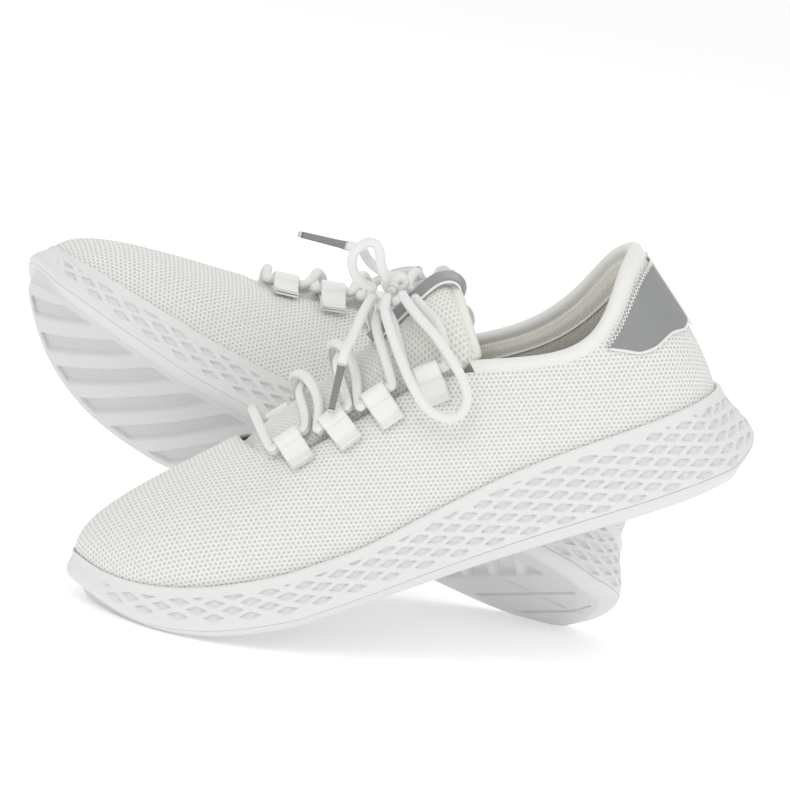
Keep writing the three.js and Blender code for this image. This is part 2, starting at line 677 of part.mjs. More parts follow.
function placedShoe(name, parts) {
  const { yaw, pitch, roll, at, mirror } = PLACES[name];
  const shoe = new THREE.Group();
  shoe.rotation.set(degrees(roll), degrees(pitch), degrees(yaw), "ZYX");
  shoe.position.set(at[0], at[1], 0);
  for (const [part, geometry, material] of parts) {
    const mesh = new THREE.Mesh(mirror ? mirrored(geometry) : geometry, MATERIALS[material]);
    mesh.name = `${name}_${part}`;
    shoe.add(mesh);
  }
  shoe.updateMatrixWorld(true);
  shoe.position.z = -new THREE.Box3().setFromObject(shoe, true).min.z;
  return shoe;
}

const pair = new THREE.Group();
for (const name of Object.keys(PLACES)) pair.add(placedShoe(name, shoeParts(ROUTES[name])));

// The pair stands centred on its origin, measured without the bows and free lace ends.
const FREE = new RegExp(`_(${[...Object.keys(ROUTES.left), ...Object.keys(AGLETS)].join("|")})$`);
pair.updateMatrixWorld(true);
const extent = new THREE.Box3();
pair.traverse((mesh) => {
  if (mesh.isMesh && !FREE.test(mesh.name)) extent.expandByObject(mesh, true);
});
const middle = extent.getCenter(v());
pair.position.set(-middle.x, -middle.y, -extent.min.z);

export default pair;
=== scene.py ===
import math
import bpy
import numpy as np
from mathutils import Matrix, Vector


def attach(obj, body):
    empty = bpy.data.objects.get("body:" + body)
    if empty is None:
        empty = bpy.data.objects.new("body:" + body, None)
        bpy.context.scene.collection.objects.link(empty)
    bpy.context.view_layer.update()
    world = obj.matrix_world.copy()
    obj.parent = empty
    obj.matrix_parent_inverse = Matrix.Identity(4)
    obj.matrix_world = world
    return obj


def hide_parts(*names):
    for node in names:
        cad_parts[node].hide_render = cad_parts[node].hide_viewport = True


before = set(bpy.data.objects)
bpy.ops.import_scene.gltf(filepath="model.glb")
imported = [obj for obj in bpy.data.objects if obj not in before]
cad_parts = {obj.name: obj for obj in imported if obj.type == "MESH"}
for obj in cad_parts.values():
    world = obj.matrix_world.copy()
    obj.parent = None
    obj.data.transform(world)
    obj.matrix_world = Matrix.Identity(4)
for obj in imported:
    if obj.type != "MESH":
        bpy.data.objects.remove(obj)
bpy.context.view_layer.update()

MM = 0.001

# ---- driving dimensions ----
# Millimetres, in the frame of a left shoe: X heel to toe, +Y the outer side, Z up from the ground.
# The right shoe is its mirror image.
KNIT = 1.6
LACE = 4.0
AGLET = 3.2
AGLET_LENGTH = 19.0
RIM_DEPTH = 3.4
UPPER_TOP = 0.94
LOOP_WIDTH = 10.5
STRAP_WIDTH = 9.0
HEEL_ROW = 11
COLLAR_ROWS = (7, 15)

ROWS = [
    # feather x, y; edge of the foot opening x, y, z
    (271, -5, 187, 0, 72.5), (263, 16, 185.5, 9, 71), (247, 33.5, 181.5, 17, 68),
    (220, 44.5, 173, 23, 65), (188, 46, 157, 25.5, 68.5), (152, 40.5, 138, 26.5, 74),
    (118, 36, 117, 27.3, 77.5), (88, 35.3, 96, 28.5, 75.5), (60, 34.5, 70, 30.5, 70),
    (36, 31, 47, 28.5, 74), (16, 20, 30, 18.5, 92.5), (7.5, 0, 21, 0, 98.5),
    (16, -19.5, 30, -18.5, 94), (36, -29.5, 47, -27.5, 82), (60, -31.5, 70, -30, 74),
    (88, -31, 96, -28.5, 75.5), (118, -31, 117, -27.3, 77.5), (152, -36, 138, -26.5, 74),
    (188, -42.5, 157, -25.5, 68.5), (220, -44, 173, -23, 65), (247, -37.5, 181.5, -17, 68),
    (263, -24, 185.5, -9, 71),
]
SOLE_OUTLINE = [
    (280, -6), (271, 17), (254, 36), (226, 49.5), (192, 51), (154, 44.5), (118, 39.5), (88, 39),
    (60, 39.5), (34, 37), (11, 24), (0.5, 0), (11, -24), (34, -35), (60, -36), (88, -34.5),
    (118, -34), (154, -39.5), (192, -47), (226, -48.5), (254, -41), (271, -27),
]
FEATHER_HEIGHT = [
    (0, 33), (20, 33.5), (60, 33), (90, 31.5), (130, 25.8), (170, 20.8), (190, 20.8),
    (209, 22.4), (229, 25.5), (249, 31), (262, 37), (272, 44), (290, 47),
]
GROUND_CLEARANCE = [
    (-1, 8), (6, 3), (14, 0), (190, 0), (209, 2.2), (229, 6), (249, 12.6), (262, 18.8), (281, 33.5),
]
# Where each shoe lies: the turn of its frame in degrees, and its origin in the model's frame.
PLACES = {
    "left": {"yaw": -175.1, "pitch": 25.0, "roll": 0.0, "at": (155.47, -30.76, 93.57), "side": 1},
    "right": {"yaw": 174.7, "pitch": -15.6, "roll": 33.7, "at": (108.37, 14.64, 8.84), "side": -1},
}


# ---- curves ----
def smooth(x, low, high):
    t = np.clip((np.asarray(x, float) - low) / (high - low), 0, 1)
    return t * t * (3 - 2 * t)


def unit(vectors):
    return vectors / np.linalg.norm(vectors, axis=-1, keepdims=True)


def along(table):
    """A height table as a smooth function that doesn't overshoot."""
    xs, zs = np.array(table, float).T
    slopes = np.diff(zs) / np.diff(xs)
    tangents = np.concatenate([slopes[:1], slopes[1:], slopes[-1:]])
    for i in range(1, len(slopes)):
        product = slopes[i - 1] * slopes[i]
        tangents[i] = 0 if product <= 0 else 2 * product / (slopes[i - 1] + slopes[i])

    def height(x):
        x = np.clip(np.asarray(x, float), xs[0], xs[-1])
        i = np.clip(np.searchsorted(xs, x) - 1, 0, len(slopes) - 1)
        width = xs[i + 1] - xs[i]
        t = (x - xs[i]) / width
        rise = t * t * (3 - 2 * t)
        bend = tangents[i] * t * (1 - t) ** 2 - tangents[i + 1] * t * t * (1 - t)
        return zs[i] * (1 - rise) + zs[i + 1] * rise + width * bend

    return height


feather_height = along(FEATHER_HEIGHT)
ground_clearance = along(GROUND_CLEARANCE)


def loop_curve(points):
    """A closed smooth curve through points, as a function of the row number."""
    points = np.array(points, float)
    count = len(points)
    system = 4 * np.eye(count) + np.roll(np.eye(count), 1, 1) + np.roll(np.eye(count), -1, 1)
    slopes = np.linalg.solve(system, 3 * (np.roll(points, -1, 0) - np.roll(points, 1, 0)))

    def at(u):
        u = np.asarray(u, float) % count
        i = np.floor(u).astype(int) % count
        t = (u - np.floor(u))[..., None]
        j = (i + 1) % count
        return (points[i] * (1 + 2 * t) * (1 - t) ** 2 + points[j] * t * t * (3 - 2 * t)
                + slopes[i] * t * (1 - t) ** 2 - slopes[j] * t * t * (1 - t))

    return at


ROW_COUNT = len(ROWS)
rows_at = loop_curve(ROWS)
sole_at = loop_curve(SOLE_OUTLINE)


def plan_normal(curve, u):
    """The outward normal in plan of a closed curve that runs from the toe by the outer side."""
    step = 0.01
    d = curve(np.asarray(u) + step)[..., :2] - curve(np.asarray(u) - step)[..., :2]
    normal = unit(np.stack([-d[..., 1], d[..., 0]], -1))
    outward = curve(u)[..., :2] - np.array([140.0, 0])
    return normal * np.sign((normal * outward).sum(-1))[..., None]


def open_curve(points, count):
    """Evenly spaced points on a smooth open curve through points."""
    points = np.array(points, float)
    size = len(points)
    gaps = np.linalg.norm(np.diff(points, axis=0), axis=1) ** 0.5
    knots = np.concatenate([[0], np.cumsum(gaps)])
    system = np.zeros((size, size))
    right = np.zeros_like(points)
    system[0, 0] = system[-1, -1] = 1
    ends = (points[1] - points[0]) / gaps[0], (points[-1] - points[-2]) / gaps[-1]
    right[0], right[-1] = ends
    for i in range(1, size - 1):
        a, b = gaps[i - 1], gaps[i]
        system[i, i - 1:i + 2] = b, 2 * (a + b), a
        right[i] = 3 * (b * (points[i] - points[i - 1]) / a + a * (points[i + 1] - points[i]) / b)
    slopes = np.linalg.solve(system, right)
    fine = np.linspace(0, knots[-1], count * 8)
    i = np.clip(np.searchsorted(knots, fine) - 1, 0, size - 2)
    width = gaps[i][:, None]
    t = ((fine - knots[i]) / gaps[i])[:, None]
    curve = (points[i] * (1 + 2 * t) * (1 - t) ** 2 + points[i + 1] * t * t * (3 - 2 * t)
             + width * (slopes[i] * t * (1 - t) ** 2 - slopes[i + 1] * t * t * (1 - t)))
    return resample(curve, count)


def resample(curve, count):
    length = np.concatenate([[0], np.cumsum(np.linalg.norm(np.diff(curve, axis=0), axis=1))])
    want = np.linspace(0, length[-1], count)
    return np.stack([np.interp(want, length, curve[:, k]) for k in range(curve.shape[1])], 1)


def arc_length(curve):
    steps = np.linalg.norm(np.diff(curve, axis=0), axis=-1)
    return np.concatenate([np.zeros_like(steps[:1]), np.cumsum(steps, axis=0)])


# ---- meshes ----
def quads_of(rows, columns, wrap_rows=False, wrap_columns=False, start=0):
    i = np.arange(rows if wrap_rows else rows - 1)
    j = np.arange(columns if wrap_columns else columns - 1)
    i, j = np.meshgrid(i, j, indexing="ij")
    a = i * columns + j
    b = ((i + 1) % rows) * columns + j
    c = ((i + 1) % rows) * columns + (j + 1) % columns
    d = i * columns + (j + 1) % columns
    return (np.stack([a, b, c, d], -1).reshape(-1, 4) + start).tolist()


def tube_faces(rows, columns):
    """Faces of a tube of closed sections, with a cap on each end."""
    return quads_of(rows, columns, False, True) + [
        list(range(columns))[::-1], [(rows - 1) * columns + k for k in range(columns)]]


def lid_faces(count, stride=1, start=0):
    """Strips from side to side that close a ring of count points."""
    faces = []
    for i in range(count // 2):
        ids = [start + k % count * stride for k in (i, i + 1, count - i - 1, count - i)]
        ids = [n for k, n in enumerate(ids) if n not in ids[:k]]
        if len(ids) > 2:
            faces.append(ids)
    return faces


def pattern_of(across, lengthways):
    """Pattern coordinates of a grid, in millimetres, from distances along its rows and columns."""
    return np.stack(np.broadcast_arrays(across, lengthways), -1).reshape(-1, 2)


def placed(points, shoe):
    """Points of a shoe's frame, in millimetres, in the model's frame, in metres."""
    place = PLACES[shoe]
    yaw, pitch, roll = (math.radians(place[k]) for k in ("yaw", "pitch", "roll"))
    turn_z = np.array([[math.cos(yaw), -math.sin(yaw), 0], [math.sin(yaw), math.cos(yaw), 0], [0, 0, 1]])
    turn_y = np.array([[math.cos(pitch), 0, math.sin(pitch)], [0, 1, 0],
                       [-math.sin(pitch), 0, math.cos(pitch)]])
    turn_x = np.array([[1, 0, 0], [0, math.cos(roll), -math.sin(roll)],
                       [0, math.sin(roll), math.cos(roll)]])
    points = np.asarray(points, float) * np.array([1, place["side"], 1])
    return (points @ (turn_z @ turn_y @ turn_x).T + np.array(place["at"])) * MM


def linked(name, data):
    made = bpy.data.objects.new(name, data)
    bpy.context.scene.collection.objects.link(made)
    return made


BODY_OF = {"tongue": "tongue_body", "tongue_strap": "tongue_body", "sockliner": "sockliner_body"}


def piece(shoe, name, points, faces, material, node=None, uv=None, body=None, tint=None):
    """One piece of a shoe: a mesh that rides on its body and stands for its CAD nodes."""
    mesh = bpy.data.meshes.new(f"{shoe}_{name}")
    if PLACES[shoe]["side"] < 0:
        faces = [face[::-1] for face in faces]
    mesh.from_pydata(placed(points, shoe).tolist(), [], faces)
    mesh.polygons.foreach_set("use_smooth", [True] * len(mesh.polygons))
    corners = np.empty(len(mesh.loops), int)
    mesh.loops.foreach_get("vertex_index", corners)
    if uv is not None:
        layer = mesh.uv_layers.new(name="pattern")
        layer.data.foreach_set("uv", np.asarray(uv, float)[corners].ravel())
    if tint is not None:
        zone = mesh.attributes.new("zone", "FLOAT", "POINT")
        zone.data.foreach_set("value", np.asarray(tint, float).ravel())
    mesh.materials.append(MATERIALS[material])
    mesh.update()
    made = linked(f"{shoe}_{name}_look", mesh)
    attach(made, f"{shoe}_{body or BODY_OF.get(node or name, 'shoe')}")
    if node:
        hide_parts(*[f"{shoe}_{n}" for n in ([node] if isinstance(node, str) else node)])
    return made


def closed_grid(outer, inner):
    """A skin over two grids of the same size, joined round their edges; rows may be a ring."""
    rows, columns = outer.shape[:2]
    points = np.concatenate([outer.reshape(-1, 3), inner.reshape(-1, 3)])
    size = rows * columns
    faces = quads_of(rows, columns)
    faces += [f[::-1] for f in quads_of(rows, columns, start=size)]
    edge = [(i, 0) for i in range(rows)] + [(rows - 1, j) for j in range(1, columns)]
    edge += [(i, columns - 1) for i in range(rows - 2, -1, -1)] + [(0, j) for j in range(columns - 2, 0, -1)]
    ids = [i * columns + j for i, j in edge]
    for a, b in zip(ids, ids[1:] + ids[:1]):
        faces.append([b, a, a + size, b + size])
    return points, faces


def ring_shell(outer, inner):
    """A skin over two grids whose first and last rows coincide, joined along both rims."""
    stations, levels = outer.shape[:2]
    size = stations * levels
    faces = quads_of(stations, levels) + [f[::-1] for f in quads_of(stations, levels, start=size)]
    for low in range(0, size - levels, levels):
        high = low + levels - 1
        faces.append([low, low + size, low + levels + size, low + levels])
        faces.append([high, high + levels, high + levels + size, high + size])
    return np.concatenate([outer.reshape(-1, 3), inner.reshape(-1, 3)]), faces


# ---- materials ----
class Nodes:
    """Short names for making a material's nodes."""

    def __init__(self, name, color, roughness, **sockets):
        self.material = bpy.data.materials.new(name)
        self.material.use_nodes = True
        self.tree = self.material.node_tree
        self.shader = self.tree.nodes["Principled BSDF"]
        self.shader.inputs["Base Color"].default_value = (*color, 1)
        self.shader.inputs["Roughness"].default_value = roughness
        for key, value in sockets.items():
            self.shader.inputs[key.replace("_", " ")].default_value = value

    def node(self, kind, **inputs):
        made = self.tree.nodes.new("ShaderNode" + kind)
        for key, value in inputs.items():
            if hasattr(made, key):
                setattr(made, key, value)
        return made

    def link(self, source, target):
        self.tree.links.new(source, target)

    def feed(self, sockets, values):
        """Give each socket its number, its tuple or its link."""
        for socket, value in zip(sockets, values):
            if isinstance(value, (int, float, tuple)):
                socket.default_value = value
            else:
                self.link(value, socket)

    def math(self, operation, *values):
        made = self.node("Math", operation=operation)
        self.feed(made.inputs, values)
        return made.outputs[0]

    def vector(self, operation, *values):
        made = self.node("VectorMath", operation=operation)
        self.feed(made.inputs, values)
        return made.outputs["Value" if operation == "LENGTH" else "Vector"]

    def pattern(self):
        return self.node("UVMap", uv_map="pattern").outputs[0]

    def place(self):
        return self.node("TexCoord").outputs["Object"]

    def split(self, vector):
        made = self.node("SeparateXYZ")
        self.link(vector, made.inputs[0])
        return made.outputs[0], made.outputs[1]

    def noise(self, vector, scale, detail=2.0, roughness=0.5):
        made = self.node("TexNoise")
        made.inputs["Scale"].default_value = scale
        made.inputs["Detail"].default_value = detail
        made.inputs["Roughness"].default_value = roughness
        self.link(vector, made.inputs["Vector"])
        return made.outputs[0]

    def ramp(self, value, low, high, to_low=0.0, to_high=1.0):
        made = self.node("MapRange", interpolation_type="SMOOTHSTEP")
        self.feed(made.inputs, (value, low, high, to_low, to_high))
        return made.outputs[0]

    def mix(self, factor, a, b):
        made = self.node("Mix", data_type="RGBA")
        colors = [(*c, 1) if isinstance(c, tuple) else c for c in (a, b)]
        self.feed((made.inputs[0], made.inputs[6], made.inputs[7]), (factor, *colors))
        return made.outputs[2]

    def color(self, value):
        self.link(value, self.shader.inputs["Base Color"])

    def roughness(self, value):
        self.link(value, self.shader.inputs["Roughness"])

    def bump(self, height, distance, strength=1.0):
        made = self.node("Bump")
        made.inputs["Strength"].default_value = strength
        made.inputs["Distance"].default_value = distance * MM
        self.link(height, made.inputs["Height"])
        self.link(made.outputs[0], self.shader.inputs["Normal"])

    def wave(self, value, pitch):
        """1 on the crests and 0 in the troughs of a wave along value, both in millimetres."""
        angle = self.math("MULTIPLY", value, 2 * math.pi / pitch)
        return self.math("MULTIPLY_ADD", self.math("COSINE", angle), 0.5, 0.5)


def dimmed(color, share):
    return tuple(share * c for c in color)


def hex_distance(nodes, uv, pitch):
    """Distance in millimetres to the nearest point of a hexagonal packing."""
    cell = (pitch, pitch * math.sqrt(3), 1.0)
    distances = []
    for shift in (0.0, 0.5):
        scaled = nodes.vector("DIVIDE", uv, cell)
        moved = nodes.vector("ADD", scaled, (shift, shift, 0.0))
        centred = nodes.vector("SUBTRACT", nodes.vector("FRACTION", moved), (0.5, 0.5, 0.0))
        distances.append(nodes.vector("LENGTH", nodes.vector("MULTIPLY", centred, (cell[0], cell[1], 0.0))))
    return nodes.math("MINIMUM", *distances)


def knit_material(name, color, hole_shade, pitch=2.25, radius=0.42, depth=0.35):
    """Knitted mesh: small holes in hexagonal packing between raised ribs of yarn, painted darker as shade:
    the shaded lining seen through them.
    """
    nodes = Nodes(name, color, 0.85, Sheen_Weight=0.25, Sheen_Roughness=0.5, Specular_IOR_Level=0.25)
    uv = nodes.pattern()
    wobble = nodes.noise(nodes.vector("MULTIPLY", uv, (0.35, 0.35, 0.0)), 1.0)
    distance = hex_distance(nodes, uv, pitch)
    soft = nodes.math("ADD", distance, nodes.math("MULTIPLY_ADD", wobble, 0.25, -0.125))
    open_mesh = nodes.ramp(soft, radius + 0.28, radius - 0.18)
    across, _ = nodes.split(uv)
    ribs = nodes.wave(across, pitch / 2)
    patches = nodes.noise(nodes.vector("MULTIPLY", uv, (0.02, 0.02, 0.0)), 1.0, 3.0)
    shade = nodes.mix(patches, color, dimmed(color, 0.96))
    # Painted shade: the holes take a darker colour for the shaded lining seen through them.
    nodes.color(nodes.mix(nodes.math("MULTIPLY", open_mesh, 0.85), shade, hole_shade))
    yarn = nodes.noise(nodes.vector("MULTIPLY", uv, (3.0, 1.2, 0.0)), 1.0)
    height = nodes.math("SUBTRACT", nodes.math("MULTIPLY", ribs, 0.18), open_mesh)
    height = nodes.math("ADD", height, nodes.math("MULTIPLY", yarn, 0.15))
    nodes.bump(height, depth)
    return nodes.material


def foam_material(name, color):
    """Moulded foam: fine skin texture and slight mottling."""
    nodes = Nodes(name, color, 0.5, Specular_IOR_Level=0.4)
    place = nodes.place()
    fine = nodes.noise(place, 2500.0, 3.0)
    broad = nodes.noise(place, 30.0, 3.0)
    nodes.color(nodes.mix(broad, dimmed(color, 0.97), color))
    nodes.roughness(nodes.ramp(fine, 0.3, 0.7, 0.44, 0.6))
    nodes.bump(fine, 0.06)
    return nodes.material


def webbing_material(name, color):
    """Fine satin webbing, with painted shade in the hollows of its weave."""
    nodes = Nodes(name, color, 0.6, Sheen_Weight=0.2, Specular_IOR_Level=0.4)
    across, lengthways = nodes.split(nodes.pattern())
    weave = nodes.math("MULTIPLY", nodes.wave(across, 0.45), nodes.wave(lengthways, 0.6))
    # Painted shade: the hollows of the weave are darker.
    nodes.color(nodes.mix(weave, dimmed(color, 0.96), color))
    nodes.bump(weave, 0.05)
    return nodes.material


def lace_material(name, color):
    """Braided cord: two families of strands that cross on its surface, with painted shade in the grooves
    between them.
    """
    nodes = Nodes(name, color, 0.7, Sheen_Weight=0.3, Sheen_Roughness=0.4, Specular_IOR_Level=0.3)
    around, lengthways = nodes.split(nodes.pattern())
    left = nodes.wave(nodes.math("ADD", around, lengthways), 1.1)
    right = nodes.wave(nodes.math("SUBTRACT", around, lengthways), 1.1)
    strands = nodes.math("MULTIPLY", left, right)
    # Painted shade: the grooves between the strands are darker.
    nodes.color(nodes.mix(strands, dimmed(color, 0.93), color))
    nodes.bump(strands, 0.12)
    return nodes.material


def lining_material(name, color):
    nodes = Nodes(name, color, 0.9, Sheen_Weight=0.4, Specular_IOR_Level=0.2)
    distance = hex_distance(nodes, nodes.pattern(), 1.3)
    dots = nodes.ramp(distance, 0.45, 0.2)
    # Painted shade: the recessed dots of the mesh are darker, as shade in its holes.
    nodes.color(nodes.mix(dots, color, dimmed(color, 0.86)))
    nodes.bump(nodes.math("SUBTRACT", 1.0, dots), 0.12)
    return nodes.material


def grain_material(name, color, roughness):
    """Smooth coated fabric with a fine grain."""
    nodes = Nodes(name, color, roughness, Specular_IOR_Level=0.5)
    place = nodes.place()
    grain = nodes.noise(place, 1800.0, 4.0, 0.6)
    broad = nodes.noise(place, 60.0, 2.0)
    nodes.color(nodes.mix(broad, dimmed(color, 0.94), color))
    nodes.roughness(nodes.ramp(grain, 0.3, 0.7, roughness - 0.06, roughness + 0.1))
    nodes.bump(grain, 0.08)
    return nodes.material


def tread_material(name, pad, relief):
    """Tread rubber in two tones: the pads, and the lighter relief between them; the forefoot grooves keep the
    darker tone alone as painted shade.
    """
    nodes = Nodes(name, pad, 0.55, Specular_IOR_Level=0.4)
    zone = nodes.node("Attribute", attribute_name="zone").outputs["Fac"]
    fine = nodes.noise(nodes.place(), 1500.0, 3.0)
    # Painted shade: the darker tone alone fills the forefoot grooves.
    nodes.color(nodes.mix(zone, pad, relief))
    nodes.roughness(nodes.ramp(fine, 0.3, 0.7, 0.48, 0.66))
    nodes.bump(fine, 0.08)
    return nodes.material


MATERIALS = {
    # The knits' second colours are painted shade for their holes.
    "knit": knit_material("white_knit", (0.875, 0.875, 0.85), (0.62, 0.61, 0.57), 1.98),
    "tongue_edge": webbing_material("tongue_edge", (0.86, 0.85, 0.80)),
    "tongue": knit_material("tongue_knit", (0.89, 0.885, 0.845), (0.70, 0.68, 0.62), 1.9, 0.42),
    "foam": foam_material("midsole_foam", (0.79, 0.79, 0.785)),
    # Painted shade: the darker tread tone shows alone in the forefoot grooves.
    "tread": tread_material("outsole_rubber", (0.60, 0.61, 0.61), (0.76, 0.76, 0.755)),
    "binding": webbing_material("collar_binding", (0.86, 0.86, 0.83)),
    "webbing": webbing_material("loop_webbing", (0.89, 0.89, 0.87)),
    "lace": lace_material("braided_lace", (0.90, 0.90, 0.885)),
    "lining": lining_material("collar_lining", (0.86, 0.83, 0.76)),
    "sockliner": lining_material("sockliner_mesh", (0.72, 0.70, 0.65)),
    "grey": grain_material("grey_patch", (0.295, 0.30, 0.30), 0.5),
    "strap": grain_material("grey_strap", (0.30, 0.305, 0.31), 0.35),
    "piping": grain_material("white_piping", (0.86, 0.86, 0.84), 0.5),
    "thread": grain_material("thread", (0.85, 0.85, 0.83), 0.6),
    "webbing_thread": grain_material("webbing_thread", (0.86, 0.86, 0.84), 0.6),
    "aglet": grain_material("aglet_film", (0.24, 0.245, 0.235), 0.25),
    "aglet_tip": grain_material("aglet_tip", (0.7, 0.7, 0.68), 0.4),
    "board": foam_material("board", (0.68, 0.64, 0.55)),
}


# ---- the upper ----
def upper_point(u, s):
    """The outer face of the upper: u is the row number, s is 0 at the sole and 1 at the opening."""
    row = rows_at(u)
    foot, top = row[..., :2], row[..., 2:]
    s = np.asarray(s, float)[..., None]
    toward_toe = smooth(foot[..., 0], 120, 205)[..., None]
    foot_height = feather_height(foot[..., 0])[..., None] - RIM_DEPTH + 0.4
    rise = top[..., 2:] - foot_height
    inward = top[..., :2] - foot
    bulge = plan_normal(rows_at, u) * (2.2 - toward_toe)
    p0 = np.concatenate([foot, foot_height], -1)
    p1 = np.concatenate([foot + bulge, foot_height + (0.36 + 0.2 * toward_toe) * rise], -1)
    p2 = np.concatenate([top[..., :2] - inward * (0.33 + 0.21 * toward_toe), top[..., 2:] - 0.3 * rise], -1)
    return p0 * (1 - s) ** 3 + 3 * p1 * s * (1 - s) ** 2 + 3 * p2 * s * s * (1 - s) + top * s ** 3


def upper_normal(u, s):
    u, s = np.broadcast_arrays(np.asarray(u, float), np.asarray(s, float))
    around = upper_point(u + 0.05, s) - upper_point(u - 0.05, s)
    up = upper_point(u, np.minimum(s + 0.02, 1)) - upper_point(u, np.maximum(s - 0.02, 0))
    return unit(np.cross(around, up))


def inside(u, s, depth):
    u, s = np.broadcast_arrays(np.asarray(u, float), np.asarray(s, float))
    return upper_point(u, s) - upper_normal(u, s) * np.asarray(depth)[..., None]


def flattened(points, faces):
    """Pattern coordinates in millimetres, corner by corner: the surface laid flat."""
    mesh = bpy.data.meshes.new("flat")
    mesh.from_pydata(points.tolist(), [], faces)
    holder = linked("flat", mesh)
    bpy.context.view_layer.objects.active = holder
    holder.select_set(True)
    bpy.ops.object.mode_set(mode="EDIT")
    bpy.ops.mesh.select_all(action="SELECT")
    bpy.ops.uv.unwrap(method="ANGLE_BASED", margin=0.0)
    bpy.ops.object.mode_set(mode="OBJECT")
    uv = np.empty(len(mesh.loops) * 2)
    mesh.uv_layers.active.data.foreach_get("uv", uv)
    uv = uv.reshape(-1, 4, 2)
    corners = points[np.array(faces)]
    crossed = np.cross(corners[:, 2] - corners[:, 0], corners[:, 3] - corners[:, 1])
    area = np.linalg.norm(crossed, axis=1).sum()
    d1, d2 = uv[:, 2] - uv[:, 0], uv[:, 3] - uv[:, 1]
    flat_area = np.abs(d1[:, 0] * d2[:, 1] - d1[:, 1] * d2[:, 0]).sum()
    bpy.data.objects.remove(holder)
    bpy.data.meshes.remove(mesh)
    return uv * math.sqrt(area / flat_area)


upper_cache = {}


def upper_shell(shoe):
    stations, levels = 352, 64
    # The ring is cut at the heel's centre line, so the first and last stations coincide.
    u = np.linspace(HEEL_ROW, HEEL_ROW + ROW_COUNT, stations)
    s = np.linspace(0, UPPER_TOP, levels)
    grid_u, grid_s = np.meshgrid(u, s, indexing="ij")
    outer = upper_point(grid_u, grid_s)
    edge = smooth(grid_s, UPPER_TOP - 0.03, UPPER_TOP)
    outer = outer - upper_normal(grid_u, grid_s) * (edge * 0.5)[..., None]
    inner = inside(grid_u, grid_s, KNIT * (1 - 0.3 * edge))
    if "uv" not in upper_cache:
        upper_cache["uv"] = flattened(outer.reshape(-1, 3), quads_of(stations, levels))
    points, faces = ring_shell(outer, inner)
    made = piece(shoe, "upper", points, faces, "knit", "upper")
    layer = made.data.uv_layers.new(name="pattern")
    flat = upper_cache["uv"]
    if PLACES[shoe]["side"] < 0:
        flat = flat[:, ::-1]
    # The outer face comes first in the mesh; the inner face and the rims have no pattern.
    uv = np.zeros((len(made.data.loops), 2))
    uv[:flat.size // 2] = flat.reshape(-1, 2)
    layer.data.foreach_set("uv", uv.ravel())


def panel(shoe, name, u, low, high, depth, thickness, material, node=None, levels=40, edge=0.35):
    """A panel on the upper with rounded edges: low and high are its limits in s at each station."""
    share = np.linspace(0, 1, levels)
    grid_u = np.repeat(u[:, None], levels, 1)
    grid_s = low[:, None] * (1 - share) + high[:, None] * share
    outer = inside(grid_u, grid_s, depth)
    inner = inside(grid_u, grid_s, depth + thickness)
    normals = upper_normal(grid_u, grid_s)
    drop = np.zeros_like(grid_s)
    drop[[0, -1], :] = drop[:, [0, -1]] = edge
    outer = outer - normals * drop[..., None]
    points, faces = closed_grid(outer, inner)
    return piece(shoe, name, points, faces, material, node)


PATCH_REACH = 2.03
# Lower edge of the heel patch in s, against the number of rows from the centre of the heel.
PATCH_LOW = [
    (0, 0.47), (0.52, 0.458), (0.95, 0.506), (1.31, 0.528), (1.63, 0.596), (1.88, 0.741),
    (2.04, 0.84),
]
patch_low = along(PATCH_LOW)


def patch_limits(u):
    """Lower and upper edges of the heel patch in s: they almost meet on each side."""
    away = np.abs(u - HEEL_ROW)
    return patch_low(away), 0.873 - 0.012 * smooth(away, 0.6, 2.1)


def heel_patch(shoe):
    u = np.linspace(HEEL_ROW - PATCH_REACH, HEEL_ROW + PATCH_REACH, 161)
    low, high = patch_limits(u)
    panel(shoe, "heel_patch", u, low, high, -1.0, 0.9, "grey", "heel_patch",
          edge=0.3)
    rope(shoe, "patch_piping", inside(u, low - 0.004, -0.8), 0.6, "piping")
    # Zig-zag stitches over the edge beside the collar.
    fine = np.linspace(HEEL_ROW - PATCH_REACH, HEEL_ROW + PATCH_REACH, 4001)
    _, top = patch_limits(fine)
    length = arc_length(inside(fine, top, -1.0))
    turns = np.arange(0, length[-1], 0.85)
    turn_u = np.interp(turns, length, fine)
    _, top = patch_limits(turn_u)
    swing = np.where(np.arange(len(turns)) % 2 == 0, 0.014, -0.020)
    zigzag = inside(turn_u, top + swing, -1.25)
    dense = np.stack([np.interp(np.linspace(0, len(turns) - 1, 3 * len(turns)), np.arange(len(turns)),
                                zigzag[:, k]) for k in range(3)], 1)
    rope(shoe, "patch_stitching", dense, 0.24, "thread", sides=6)
    # White tape down the centre of the heel, over the patch.
    tape_u = np.linspace(HEEL_ROW - 0.14, HEEL_ROW + 0.14, 17)
    panel(shoe, "heel_tape", tape_u, np.full(17, 0.42), np.full(17, 0.92), -1.5, 0.6,
          "binding", levels=60, edge=0.25)


# ---- round and flat strips ----
def frames_along(path):
    """Tangents and twist-free side vectors along a path."""
    tangents = unit(np.gradient(path, axis=0))
    side = np.cross(tangents[0], (0.0, 0.0, 1.0))
    if np.linalg.norm(side) < 0.1:
        side = np.cross(tangents[0], (1.0, 0.0, 0.0))
    sides = [unit(side)]
    for tangent in tangents[1:]:
        sides.append(unit(sides[-1] - tangent * (sides[-1] @ tangent)))
    sides = np.array(sides)
    return tangents, sides, np.cross(tangents, sides)


